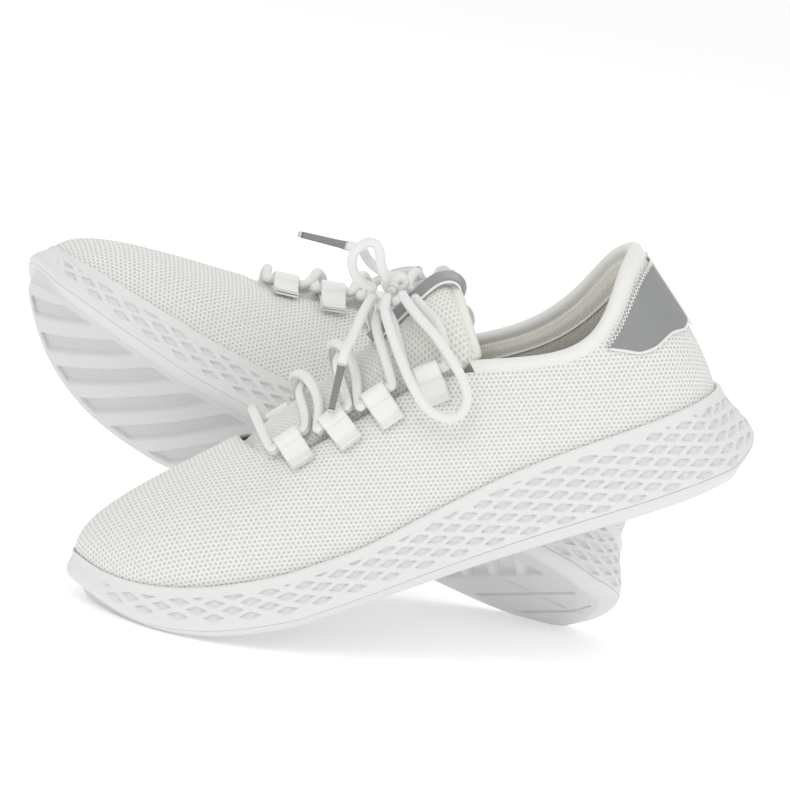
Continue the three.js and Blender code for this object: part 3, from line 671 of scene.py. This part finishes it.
def rope(shoe, name, path, radius, material, node=None, body=None, sides=10, braid=0.0):
    """A closed tube with round ends; radius may change along it."""
    path = np.asarray(path, float)
    tangents, across, up = frames_along(path)
    radius = np.broadcast_to(np.asarray(radius, float), len(path))
    angles = np.linspace(0, 2 * math.pi, sides, endpoint=False)
    length = arc_length(path)
    wide = radius[:, None] * np.ones((1, sides))
    if braid:
        turn = angles[None, :] * 4
        run = length[:, None] * (2 * math.pi / 3.4)
        wide = wide * (1 + braid * np.cos(turn + run) * np.cos(turn - run))
    ring = (path[:, None] + across[:, None] * (np.cos(angles)[None, :] * wide)[..., None]
            + up[:, None] * (np.sin(angles)[None, :] * wide)[..., None])
    points = ring.reshape(-1, 3)
    faces = quads_of(len(path), sides, False, True)
    uv = pattern_of(angles * radius[:, None], length[:, None])
    extra, extra_uv = [], []
    for end, sign in ((0, -1), (len(path) - 1, 1)):
        first = end * sides
        previous = [first + k for k in range(sides)]
        for share in (0.5, 0.85):
            start = len(points) + len(extra)
            shrink = math.sqrt(1 - share * share)
            centre = path[end] + tangents[end] * sign * radius[end] * 0.6 * share
            extra += [centre + (ring[end, k] - path[end]) * shrink for k in range(sides)]
            extra_uv += [uv[first + k] for k in range(sides)]
            current = [start + k for k in range(sides)]
            for k in range(sides):
                face = [previous[k], previous[(k + 1) % sides], current[(k + 1) % sides], current[k]]
                faces.append(face[::-1] if sign < 0 else face)
            previous = current
        faces.append(previous if sign > 0 else previous[::-1])
    points = np.concatenate([points, extra])
    uv = np.concatenate([uv, extra_uv])
    faces = [face[::-1] for face in faces]
    return piece(shoe, name, points, faces, material, node, uv, body)


def ribbon(shoe, name, path, outs, width, thickness, material, node=None, body=None):
    """A flat strip with rounded edges: path is its middle line and outs the way that it faces."""
    path = np.asarray(path, float)
    tangents = unit(np.gradient(path, axis=0))
    sides = unit(np.cross(outs, tangents))
    outs = np.cross(tangents, sides)
    section = [(-1, 0.25), (-0.94, 0.75), (-0.8, 1), (-0.4, 1), (0, 1), (0.4, 1), (0.8, 1),
               (0.94, 0.75), (1, 0.25), (0.94, 0), (0, 0), (-0.94, 0)]
    ring = np.stack([path + sides * a * width / 2 + outs * b * thickness for a, b in section], 1)
    uv = pattern_of(np.array([a for a, _ in section]) * width / 2, arc_length(path)[:, None])
    return piece(shoe, name, ring.reshape(-1, 3), tube_faces(len(path), len(section)), material, node,
                 uv, body)


def collar_binding(shoe):
    """Stretch binding folded over the opening's edge, a little fuller than the edge itself."""
    u = np.linspace(COLLAR_ROWS[0] - 0.15, COLLAR_ROWS[1] + 0.15, 260)
    edge = inside(u, UPPER_TOP, 2.2)
    out = upper_normal(u, UPPER_TOP)
    up = unit(upper_point(u, 1.0) - upper_point(u, 0.9))
    angles = np.linspace(-0.35 * math.pi, 1.35 * math.pi, 20)
    wide = 2.9
    tall = 4.0 + 3.4 * smooth(2.4 - np.abs(u - HEEL_ROW), 0, 1.4)
    section = []
    for angle in angles:
        offset_out = math.cos(angle) * wide
        rise = np.where(math.sin(angle) > 0, math.sin(angle) * 2.8 + 2.2, 2.2 + math.sin(angle) * tall)
        section.append(edge + out * offset_out + up * rise[:, None])
    ring = np.stack(section, 1)
    piece(shoe, "collar_binding", ring.reshape(-1, 3), tube_faces(len(u), len(angles)),
          "binding", "collar_binding", pattern_of(angles * 3.0, arc_length(edge)[:, None]))


def lining(shoe):
    """Padded mesh lining: full below the binding, thin lower down."""
    stations, levels = 220, 40
    u = np.linspace(HEEL_ROW, HEEL_ROW + ROW_COUNT, stations)
    s = np.linspace(0.10, UPPER_TOP, levels)
    grid_u, grid_s = np.meshgrid(u, s, indexing="ij")
    from_heel = np.abs(grid_u - HEEL_ROW)
    from_heel = np.minimum(from_heel, ROW_COUNT - from_heel)
    collar = 1 - smooth(from_heel, 3.4, 4.6)
    pad = 2.6 * smooth(grid_s, 0.5, 0.78) * (1 - 0.55 * smooth(grid_s, 0.86, UPPER_TOP)) * collar
    outer = inside(grid_u, grid_s, 3.4)
    inner = inside(grid_u, grid_s, 4.2 + pad)
    uv = pattern_of(arc_length(inner[:, levels // 2])[:, None], arc_length(inner[stations // 4]))
    points, faces = ring_shell(outer, inner)
    made = piece(shoe, "lining", points, faces, "lining", "lining",
                 np.concatenate([uv, uv]))
    # Seam of the collar's padding, parallel to the opening.
    seam_u = np.linspace(COLLAR_ROWS[0] + 0.2, COLLAR_ROWS[1] - 0.2, 220)
    seam = inside(seam_u, 0.80, 7.0)
    rope(shoe, "lining_seam", seam, 0.45, "thread", sides=8)


# ---- the sole ----
def even_stations(curve, spacing):
    """Row numbers at even distances round a closed curve, and those distances."""
    u = np.linspace(0, ROW_COUNT, 4001)
    length = arc_length(curve(u)[:, :2])
    count = int(length[-1] / spacing)
    want = np.arange(count) * length[-1] / count
    return np.interp(want, length, u), want


HEEL_FLARE = 3.4


def wall_point(u, g, depth=0.0):
    """Side of the sole: g is 0 at the tread's edge and 1 at the top of the rim."""
    outline = sole_at(u)
    out = plan_normal(sole_at, u)
    foot = rows_at(u)[..., :2]
    foot_out = plan_normal(rows_at, u)
    ground = ground_clearance(outline[..., 0])
    top = feather_height(foot[..., 0])
    g = np.asarray(g, float)
    lean = smooth(g, 0.12, 1.0) * 0.55 + 0.45 * np.clip((g - 0.12) / 0.88, 0, 1)
    proud = 2.6 - 1.8 * smooth(foot[..., 0], 225, 262)
    plan = outline * (1 - lean)[..., None] + (foot + foot_out * proud[..., None]) * lean[..., None]
    tip = smooth(outline[..., 0], 240, 278)
    tuck = (3.6 + 4.4 * tip) * (1 - np.clip(g / (0.2 + 0.5 * tip), 0, 1)) ** 2.2
    heel = smooth(40 - outline[..., 0], 0, 40) * np.clip(g / 0.12, 0, 1) * (1 - smooth(g, 0.25, 0.95))
    plan = plan + out * (HEEL_FLARE * heel - tuck)[..., None]
    height = ground + (top + 0.4 - ground) * g
    return np.concatenate([plan - out * np.asarray(depth)[..., None], height[..., None]], -1)


LATTICE_RUN = 7.35                # half the length of a lattice cell's pitch, along the sole
LATTICE_RISE = 2.62               # half its pitch upwards
LATTICE_DEPTH = 1.3
LATTICE_END = 268                 # no cells nearer the toe than this


def lattice_depth(run, height, wall):
    """Depth of the recessed lozenges at a distance along the sole and a height on its side."""
    i = run / LATTICE_RUN
    j = height / LATTICE_RISE
    a, b = (i + j) / 2, (i - j) / 2
    fa, fb = a - np.round(a), b - np.round(b)
    edge = 0.315 - np.maximum(np.abs(fa), np.abs(fb))
    cell = smooth(edge, 0.0, 0.075)
    low_limit = smooth(height, 6.2, 7.2)
    high_limit = smooth(wall - height, 3.0, 3.8)
    return LATTICE_DEPTH * cell * low_limit * high_limit


def midsole(shoe):
    u, run = even_stations(sole_at, 0.62)
    levels = 62
    start = 0.17
    g = np.linspace(start, 1.0, levels)
    plain = wall_point(u[:, None], g)
    ground = ground_clearance(sole_at(u)[:, 0])[:, None]
    wall = (feather_height(rows_at(u)[:, 0])[:, None] + 0.4) - ground
    height = plain[..., 2] - ground
    depth = lattice_depth(run[:, None], height, wall) * smooth(LATTICE_END - plain[..., 0], 0, 8)
    side = wall_point(u[:, None], g, depth)
    foot = rows_at(u)
    foot_out = plan_normal(rows_at, u)
    top = feather_height(foot[:, 0])

    flush = smooth(foot[:, 0], 225, 262)

    def ring(out, rise):
        away = (out * (1 - 0.68 * flush))[:, None]
        return np.concatenate([foot[:, :2] + foot_out * away, (top + rise)[:, None]], 1)[:, None]

    crown = [ring(2.2, 0.9), ring(1.5, 1.15), ring(0.8, 0.9), ring(0.4, 0.2), ring(0.35, -RIM_DEPTH)]
    lower = np.concatenate([side[:, 0, :2] - plan_normal(sole_at, u) * 1.2, side[:, 0, 2:]], 1)[:, None]
    rings = np.concatenate([lower, side, *crown], 1)
    count = rings.shape[1]
    points = rings.reshape(-1, 3)
    faces = [face[::-1] for face in quads_of(len(u), count, True, False)]
    # The seat under the foot, and the face on the tread.
    faces += lid_faces(len(u), count, count - 1) + [face[::-1] for face in lid_faces(len(u), count)]
    piece(shoe, "midsole", points, faces, "foam", "midsole")


GROOVE_PITCH = 19.3
GROOVE_SLANT = 0.59
BAR_PITCH = 14.5
BAR_SLANT = 0.34
HEEL_LINE_PITCH = 17.0
HEEL_SLANT = 0.75


def tread_relief(x, y, middle, half):
    """Depth of the tread's relief below its wearing face, and how far each point takes the lighter tone; the
    forefoot grooves take none, as painted shade.
    """
    edge = half - np.abs(y - middle)
    inner = smooth(edge, 5.0, 6.0)
    # Forefoot: wide slanting grooves between ribs.
    across = x - GROOVE_SLANT * y
    fore = smooth(x, 150, 152) * smooth(274 - across, 0, 2)
    phase = (across - 189) / GROOVE_PITCH
    groove = smooth(0.27 - np.abs(phase - np.round(phase)), 0.0, 0.05)
    hatch = 0.28 * (0.5 + 0.5 * np.cos((x * 0.6 + y) * 2 * math.pi / 3.2))
    fore_depth = groove * inner * (1.7 - hatch)
    # Waist: a deep hollow crossed by bars; it stops along a slanting line behind.
    slant = x - HEEL_SLANT * y
    waist = smooth(slant, 45, 47.5) * smooth(143 - x, 0, 3) * smooth(edge, 8.5, 11.0)
    bars = (x + BAR_SLANT * y - 35.4) / BAR_PITCH
    bar = smooth(0.22 - np.abs(bars - np.round(bars)), 0.0, 0.08)
    waist_depth = waist * (2.9 - 2.3 * bar)
    # Heel: pads parted by slanting lines, with a broken slit along the middle.
    heel = smooth(45 - slant, 0, 2)
    lines = (slant - 28) / HEEL_LINE_PITCH
    line = smooth(0.055 - np.abs(lines - np.round(lines)), 0.0, 0.03)
    dash = smooth(np.abs(lines - np.round(lines)), 0.16, 0.22)
    slit = smooth(1.3 - np.abs(y - middle), 0.0, 0.7) * smooth(x, 8, 10) * dash
    heel_depth = heel * np.maximum(line * inner, slit) * 1.2
    depth = fore * fore_depth + waist_depth + heel_depth
    # Lighter in the arch hollow and the heel slit, halfway elsewhere, and darker in the forefoot grooves as
    # painted shade.
    relief = np.maximum(np.maximum(waist, heel * slit), 0.5 - 0.5 * fore * groove * inner)
    return depth, relief


def outsole(shoe):
    u, _ = even_stations(sole_at, 1.0)
    half_count = len(u) // 2
    u = np.interp(np.linspace(0, 2, 2 * half_count, endpoint=False),
                  np.linspace(0, 2, len(u), endpoint=False), u)
    # Wearing face: a ladder of strips from the outer to the inner side.
    rungs = 150
    outer = wall_point(u[:half_count + 1], np.zeros(half_count + 1))
    inner_u = np.concatenate([[ROW_COUNT], u[:half_count - 1:-1]])[:half_count + 1]
    inner = wall_point(inner_u, np.zeros(half_count + 1))
    share = np.linspace(0, 1, rungs)
    face_grid = outer[:, None] * (1 - share)[None, :, None] + inner[:, None] * share[None, :, None]
    middle = (outer[:, 1] + inner[:, 1])[:, None] / 2
    half = np.abs(outer[:, 1] - inner[:, 1])[:, None] / 2
    depth, relief = tread_relief(face_grid[..., 0], face_grid[..., 1], middle, half)
    face_grid[..., 2] = ground_clearance(face_grid[..., 0]) + depth
    side_levels = np.linspace(0, 0.165, 9)[1:]
    wall_u = np.concatenate([u[:half_count + 1], inner_u[-2:0:-1]])
    wall = wall_point(wall_u[:, None], side_levels)
    top = wall[:, -1].copy()
    top[:, :2] -= plan_normal(sole_at, wall_u) * 1.5
    points = [face_grid.reshape(-1, 3), wall.reshape(-1, 3), top]
    faces = quads_of(half_count + 1, rungs)
    rim = [i * rungs for i in range(half_count + 1)]
    rim += [i * rungs + rungs - 1 for i in range(half_count - 1, 0, -1)]
    first = (half_count + 1) * rungs
    ring_count = len(wall_u)
    for i in range(ring_count):
        j = (i + 1) % ring_count
        a, b = first + i * 8, first + j * 8
        faces.append([rim[i], rim[j], b, a][::-1])
        for k in range(7):
            faces.append([a + k, b + k, b + k + 1, a + k + 1][::-1])
        faces.append([a + 7, b + 7, first + ring_count * 8 + j, first + ring_count * 8 + i][::-1])
    faces += lid_faces(ring_count, start=first + ring_count * 8)
    points = np.concatenate(points)
    tint = np.concatenate([relief.ravel(), np.ones(len(points) - relief.size)])
    faces = [face[::-1] for face in faces]
    piece(shoe, "outsole", points, faces, "tread", "outsole", tint=tint)


def sockliner(shoe):
    u = np.linspace(0, ROW_COUNT, 221)[:-1]
    foot = rows_at(u)
    out = plan_normal(rows_at, u)
    top = feather_height(foot[:, 0]) - RIM_DEPTH
    rings = [(9.2, 2.6), (8.6, 3.0), (8.5, 5.6), (9.2, 6.4), (12, 6.6), (20, 6.3)]
    ring = np.stack([np.concatenate([foot[:, :2] - out * a, (top + b)[:, None]], 1) for a, b in rings], 1)
    count = len(rings)
    faces = [f[::-1] for f in quads_of(len(u), count, True, False)]
    faces += lid_faces(len(u), count, count - 1) + [f[::-1] for f in lid_faces(len(u), count)]
    points = ring.reshape(-1, 3)
    made = piece(shoe, "sockliner", points, faces, "sockliner", "sockliner",
                 points[:, :2])


# ---- tongue and strap ----
TONGUE_LINE = [
    # x, z, half width, height of the edges
    (198, 64, 20.5, 57.5), (187, 70, 23.5, 60), (176, 74.5, 24.5, 60.5), (158, 81, 25.2, 60.5),
    (136, 90, 24.6, 64), (115, 100.6, 23.8, 67), (104, 105, 23.4, 69), (96, 104.6, 22.8, 72.5),
]


def tongue_row(t):
    rows = open_curve(np.array(TONGUE_LINE), 200)
    return np.stack([np.interp(t, np.linspace(0, 1, 200), rows[:, k]) for k in range(4)], -1)


def tongue_surface(t, angle, depth):
    x, z, half, edge = np.moveaxis(tongue_row(t), -1, 0)
    rise = z - edge
    back = 5.5 * smooth(t, 0.75, 1.0) * np.clip(-np.sin(angle), 0, 1)
    return np.stack([x + back, (half - depth) * np.sin(angle), edge + (rise - depth) * np.cos(angle)], -1)


def settled(points, shoe):
    """The right tongue lies lower and a little further forward than the left one."""
    if shoe == "left":
        return points
    share = smooth(135 - points[..., 0], 0, 32)[..., None]
    return points + share * np.array([8.0, 0.0, -6.5])


def tongue(shoe):
    lengthways, around = 90, 60
    t = np.linspace(0, 1, lengthways)
    angle = np.linspace(-1.42, 1.42, around)
    grid_t, grid_a = np.meshgrid(t, angle, indexing="ij")
    pad = smooth(grid_t, 0.70, 0.86) * (1 - smooth(grid_t, 0.965, 1.0))
    close = 1.4 * smooth(grid_t, 0.965, 1.0) - 1.2 * pad
    outer = settled(tongue_surface(grid_t, grid_a, close), shoe)
    inner = settled(tongue_surface(grid_t, grid_a, 4.2 - close), shoe)
    points, faces = closed_grid(outer, inner)
    uv = pattern_of(arc_length(outer[:, around // 2])[:, None], arc_length(outer[lengthways // 2]))
    made = piece(shoe, "tongue", points, faces, "tongue", "tongue",
                 np.concatenate([uv, uv]))
    # Smooth rolled border round the tongue's top and a little way down its sides.
    sweep = np.linspace(-1.0, 1.0, 121)
    side_t = 1 - 0.62 * np.clip((np.abs(sweep) - 0.4) / 0.6, 0, 1)
    border_angle = np.clip(sweep / 0.4, -1, 1) * 1.38
    border = tongue_surface(side_t, border_angle, np.full_like(sweep, 1.8))
    border = settled(resample(border, 160), shoe)
    rope(shoe, "tongue_border", border, 2.3, "tongue_edge", body="tongue_body",
         sides=14)


STRAP_LEAN = 16.0
STRAP_SHIFT = 3.0
STRAP_LINE = [
    (134, 93.4), (126, 97.2), (115, 103.0), (107, 107.0), (101, 108.8), (95.4, 107.6), (92.8, 103.4),
    (94.4, 99.4), (98.5, 97.4), (103.5, 97.4),
]


def tongue_strap(shoe):
    """Grey strap with white edges, a little to the outer side of the tongue's crown."""
    line = open_curve([(x, 0, z) for x, z in STRAP_LINE], 110)
    tangents = unit(np.gradient(line, axis=0))
    outs = np.stack([tangents[:, 2], 0 * tangents[:, 0], -tangents[:, 0]], 1)
    lean = math.radians(STRAP_LEAN)
    outs = outs * math.cos(lean) + np.array([0, math.sin(lean), 0])
    line = settled(line + np.array([0, STRAP_SHIFT, 0]) - outs * 0.6, shoe)
    ribbon(shoe, "tongue_strap", line, outs, STRAP_WIDTH + 2, 0.9, "piping",
           "tongue_strap", body="tongue_body")
    ribbon(shoe, "strap_face", line + outs * 0.85, outs, STRAP_WIDTH, 0.5, "strap",
           body="tongue_body")


# ---- lace loops and lace ----
# The row where each loop stands on the throat's edge, and how far it turns toward the heel.
LOOPS = ((3.14, 18), (4.2, 8), (5.06, 6), (6.02, 6))
EYE_CENTRE = (3.6, 4.3)
EYE = (3.3, 3.0)
LOOP_LIFT = 1.3
LOOP_TAIL = 9.0


def edge_frame(loop, side):
    station, turn = LOOPS[loop]
    turn = math.radians(turn)
    low = math.floor(station * 2) / 2
    share = station * 2 - math.floor(station * 2)

    def at(s):
        return upper_point(low, s) * (1 - share) + upper_point(low + 0.5, s) * share

    edge = at(UPPER_TOP)
    ahead = unit(upper_point(low, UPPER_TOP) - upper_point(low + 0.5, UPPER_TOP))
    inward = edge - at(UPPER_TOP - 0.2)
    inward = unit(inward - ahead * (inward @ ahead))
    out = unit(np.cross(ahead, inward))
    if out[2] < 0:
        out = -out
    inward = inward * math.cos(turn) + ahead * math.sin(turn)
    mirror = np.array([1, side, 1])
    return edge * mirror, inward * mirror, out * mirror


def eye_point(loop, side, ahead):
    edge, inward, out = edge_frame(loop, side)
    direction = np.cross(inward, out)
    if direction[0] < 0:
        direction = -direction
    return edge + inward * EYE_CENTRE[0] + out * EYE_CENTRE[1] + direction * ahead


def lace_loop(shoe, loop, side):
    """Webbing folded round the lace, both ends sewn down on the upper."""
    edge, inward, out = edge_frame(loop, side)
    angles = np.linspace(math.radians(-126), math.radians(168), 30)
    middle = [(EYE_CENTRE[0] + (EYE[0] - 0.3) * math.cos(a), EYE_CENTRE[1] + (EYE[1] - 0.2) * math.sin(a))
              for a in angles]
    line = [(-LOOP_TAIL, LOOP_LIFT - 0.3), (-6, LOOP_LIFT - 0.2), (-2.5, LOOP_LIFT - 0.1)] + middle
    line += [(-2.2, 3.0), (-4.5, 1.8), (-6.5, 1.45), (-LOOP_TAIL - 0.2, 1.4)]
    path = resample(np.array(line), 120)
    tangent = np.gradient(path, axis=0)
    normal = unit(np.stack([tangent[:, 1], -tangent[:, 0]], 1))
    points = edge + path[:, :1] * inward + path[:, 1:] * out
    outs = normal[:, :1] * inward + normal[:, 1:] * out
    name = f"lace_loop_{'lateral' if side > 0 else 'medial'}_{loop + 1}"
    ribbon(shoe, name, points, outs, LOOP_WIDTH, 0.85, "webbing", name)
    # Ridges of stitching across the sewn end.
    across = np.cross(inward, out)
    for k in range(4):
        start = edge + inward * (-LOOP_TAIL + 0.7 + 1.1 * k) + out * 2.3
        row = [start + across * (LOOP_WIDTH / 2 - 0.4) * t for t in np.linspace(-1, 1, 24)]
        rope(shoe, f"{name}_stitch_{k + 1}", row, 0.32, "webbing_thread", sides=6)


FRONT_ARCH = (187.0, 79.0)
ARCHES = ((164.5, 82.5, 3.0), (147.0, 90.0, 3.0), (127.5, 101.6, 3.5))
ARCH_STEP = 4.7
KNOT_RADIUS = 2.1
KNOT_CENTRE = (118.0, 0.0, 111.5)
KNOT_APPROACH = ((107, 23, 92), (110, 14, 100), (112.8, 8, 105))


def lace_run(side):
    half = LOOP_WIDTH / 2
    points = [(FRONT_ARCH[0], 0.5 * side, FRONT_ARCH[1]), (FRONT_ARCH[0] - 0.5, 9 * side, FRONT_ARCH[1] - 2)]
    for loop in range(len(LOOPS)):
        hand = side if loop % 2 == 0 else -side
        if loop > 0:
            x, z, lean = ARCHES[loop - 1]
            over = ARCH_STEP if hand > 0 else 0
            points += [(x + lean, -19 * hand, z - 8 + over * 0.4), (x + 2.5, -9 * hand, z - 1.5 + over * 0.8),
                       (x, 0, z + over), (x - 2.5, 9 * hand, z - 1.5 + over * 0.8),
                       (x - lean, 19 * hand, z - 8 + over * 0.4)]
        for ahead in (half + 2.2, half + 0.8, 0, -half - 0.8, -half - 2.2):
            points.append(tuple(eye_point(loop, hand, ahead)))
    points += [(x, -side * y, z) for x, y, z in KNOT_APPROACH]
    return points


SIDE_BOW = [
    (123, 10.8, 109.4), (125.4, 16, 105.6), (126, 23, 99.6), (125.6, 32, 88.6), (124, 39.5, 76),
    (121, 41, 67), (114.4, 41, 61.4), (107.7, 40.6, 62.6), (104.6, 39.5, 69.8), (106.2, 36.5, 81),
    (110, 29.5, 92.5), (114.6, 21.5, 101.8), (117.3, 11.8, 108.6),
]
ROUTES = {
    "left": {
        "bow_loop_a": [
            (127.2, 4.5, 113), (131.4, 8, 117.5), (133, 11, 124.2), (131.3, 13, 129.5),
            (127.2, 14, 132.4), (122.8, 14.5, 132.5), (121, 15, 129.1), (121.8, 14.5, 123.9),
            (121.5, 12, 118.6), (121, 8.5, 115.8),
        ],
        "bow_loop_b": SIDE_BOW,
        "lace_end_a": [
            (118, -11, 110), (120, -15, 113), (124, -16, 118), (126, -13, 123.5), (127, -8, 127),
            (129.5, -5, 129), (132.3, -5.4, 130.6),
        ],
        "lace_end_b": [
            (128.2, 4.5, 109.8), (134, 12, 106), (139.6, 20, 101), (143.5, 25.5, 98),
            (146, 28.3, 95.8), (148.3, 29.6, 92),
        ],
    },
    "right": {
        "bow_loop_a": [
            (126.3, 7.5, 109.5), (131, 14.5, 107), (133, 23, 100.5), (133, 32, 90), (133, 38.5, 79),
            (134.2, 41.5, 69), (138.6, 42.5, 62.5), (143.4, 42.5, 66), (144.2, 40.5, 75),
            (142.5, 34, 85.5), (139, 26, 94.5), (134.5, 17.5, 103.5), (130, 9.5, 109.6),
        ],
        "bow_loop_b": SIDE_BOW,
        "lace_end_a": [
            (112, 9.8, 111.5), (107.5, 15, 108.5), (103.5, 20.5, 103), (100, 25.5, 96),
            (97, 29.5, 88.5),
        ],
        "lace_end_b": [
            (129.5, 3.5, 110.8), (136, 8, 109), (143, 15, 104.5), (149, 23, 99), (153, 30, 92.5),
        ],
    },
}


def lace_rope(shoe, name, path, radius=LACE / 2, node=None):
    return rope(shoe, name, path, radius, "lace", node, sides=20, braid=0.05)


def free_lace(shoe, name):
    route = ROUTES[shoe][name]
    length = arc_length(open_curve(route, 200))[-1]
    path = open_curve(route, int(length / 0.5))
    return lace_rope(shoe, name, path, node=name), placed(path, shoe)


def aglet(shoe, name, route):
    before, end = np.array(route[-2:], float)
    direction = unit(end - before)
    start = end + direction * 0.35
    along_it = np.linspace(0, AGLET_LENGTH - 1.2, 24)
    half = AGLET / 2
    radius = np.interp(along_it, [0, 0.6, 2, AGLET_LENGTH], [half * 1.1, half * 1.12, half, 1.3])
    sleeve = rope(shoe, name, start + direction * along_it[:, None], radius, "aglet",
                  name, sides=24)
    tip = start + direction * np.linspace(AGLET_LENGTH - 1.1, AGLET_LENGTH, 5)[:, None]
    end_piece = rope(shoe, f"{name}_tip", tip, 1.22, "aglet_tip", sides=20)
    return [sleeve, end_piece]


def knot(shoe):
    """The bow's knot: the band of lace that passes round its middle, twice, over the crossing."""
    x, y, z = KNOT_CENTRE
    share = np.linspace(-0.5, 0.5, 140)
    turns = 2 * math.pi * 2.1 * share
    tuck = 1 - 0.85 * smooth(np.abs(share), 0.42, 0.5)
    wrap = np.stack([x + 3.6 * tuck * np.sin(turns), y + 5.2 * share * (0.4 + 0.6 * tuck),
                     z + 2.4 * tuck * np.cos(turns)], 1)
    lace_rope(shoe, "knot", wrap, KNOT_RADIUS, "knot")
    cross = open_curve([(x - 2, -6.5, z - 2.0), (x - 1.5, -4, z - 1), (x, 0, z - 0.4), (x + 1.6, 4, z - 0.6),
                        (x + 2.4, 6.5, z - 1.2)], 60)
    lace_rope(shoe, "knot_core", cross, KNOT_RADIUS)


def lacing(shoe):
    for name, side in (("lacing_a", 1), ("lacing_b", -1)):
        lace_rope(shoe, name, open_curve(lace_run(side), 640), node=name)


def bow(shoe):
    for name in ("bow_loop_a", "bow_loop_b"):
        made, path = free_lace(shoe, name)
    for name in ("lace_end_a", "lace_end_b"):
        made, path = free_lace(shoe, name)
        tips = aglet(shoe, name.replace("lace_end", "aglet"), ROUTES[shoe][name])


# ---- camera, floor and light ----
def camera():
    data = bpy.data.cameras.new("camera")
    data.lens = 284.8
    data.sensor_width = 36
    data.clip_end = 20
    made = linked("camera", data)
    back = Vector((-0.02677, -0.98444, 0.17365))
    right = Vector((0.98833, 0.0, 0.15236))
    lift = Vector((-0.14999, 0.17570, 0.97295))
    made.matrix_world = Matrix((right, lift, back)).transposed().to_4x4()
    made.location = (-0.05795, -2.4944, 0.53225)
    bpy.context.scene.camera = made


def light(name, location, target, size, power, color=(1, 1, 1)):
    data = bpy.data.lights.new(name, "AREA")
    data.shape = "RECTANGLE"
    data.size, data.size_y = size
    data.energy = power
    data.color = color
    made = linked(name, data)
    made.location = location
    made.rotation_euler = (Vector(target) - Vector(location)).to_track_quat("-Z", "Y").to_euler()


def studio():
    mesh = bpy.data.meshes.new("floor")
    size = 6.0
    corners = [(-size, -size, 0), (size, -size, 0), (size, size, 0), (-size, size, 0)]
    mesh.from_pydata(corners, [], [[0, 1, 2, 3]])
    nodes = Nodes("floor_paper", (0.93, 0.93, 0.93), 0.9, Emission_Color=(1, 1, 1, 1), Emission_Strength=0.28)
    mesh.materials.append(nodes.material)
    floor = linked("floor", mesh)
    world = bpy.data.worlds.new("studio")
    world.use_nodes = True
    background = world.node_tree.nodes["Background"]
    background.inputs[0].default_value = (1, 1, 1, 1)
    background.inputs[1].default_value = 0.72
    bpy.context.scene.world = world
    light("key", (-0.5, -1.3, 1.6), (0, 0, 0.08), (1.2, 1.2), 8)
    light("fill", (1.4, -1.0, 0.9), (0, 0, 0.08), (1.2, 1.0), 3)
    light("back", (0.2, 1.2, 1.2), (0, 0, 0.1), (1.4, 0.8), 4)
    bpy.context.scene.view_settings.view_transform = "Standard"


def build_shoe(shoe):
    outsole(shoe)
    midsole(shoe)
    upper_shell(shoe)
    lining(shoe)
    sockliner(shoe)
    collar_binding(shoe)
    heel_patch(shoe)
    tongue(shoe)
    tongue_strap(shoe)
    for side in (1, -1):
        for loop in range(len(LOOPS)):
            lace_loop(shoe, loop, side)
    lacing(shoe)
    knot(shoe)
    bow(shoe)
    for name in ("insole_board", "heel_counter", "toe_puff"):
        node = bpy.data.objects[f"{shoe}_{name}"]
        for slot in node.material_slots:
            slot.material = MATERIALS["board"]


camera()
studio()
for name in PLACES:
    build_shoe(name)
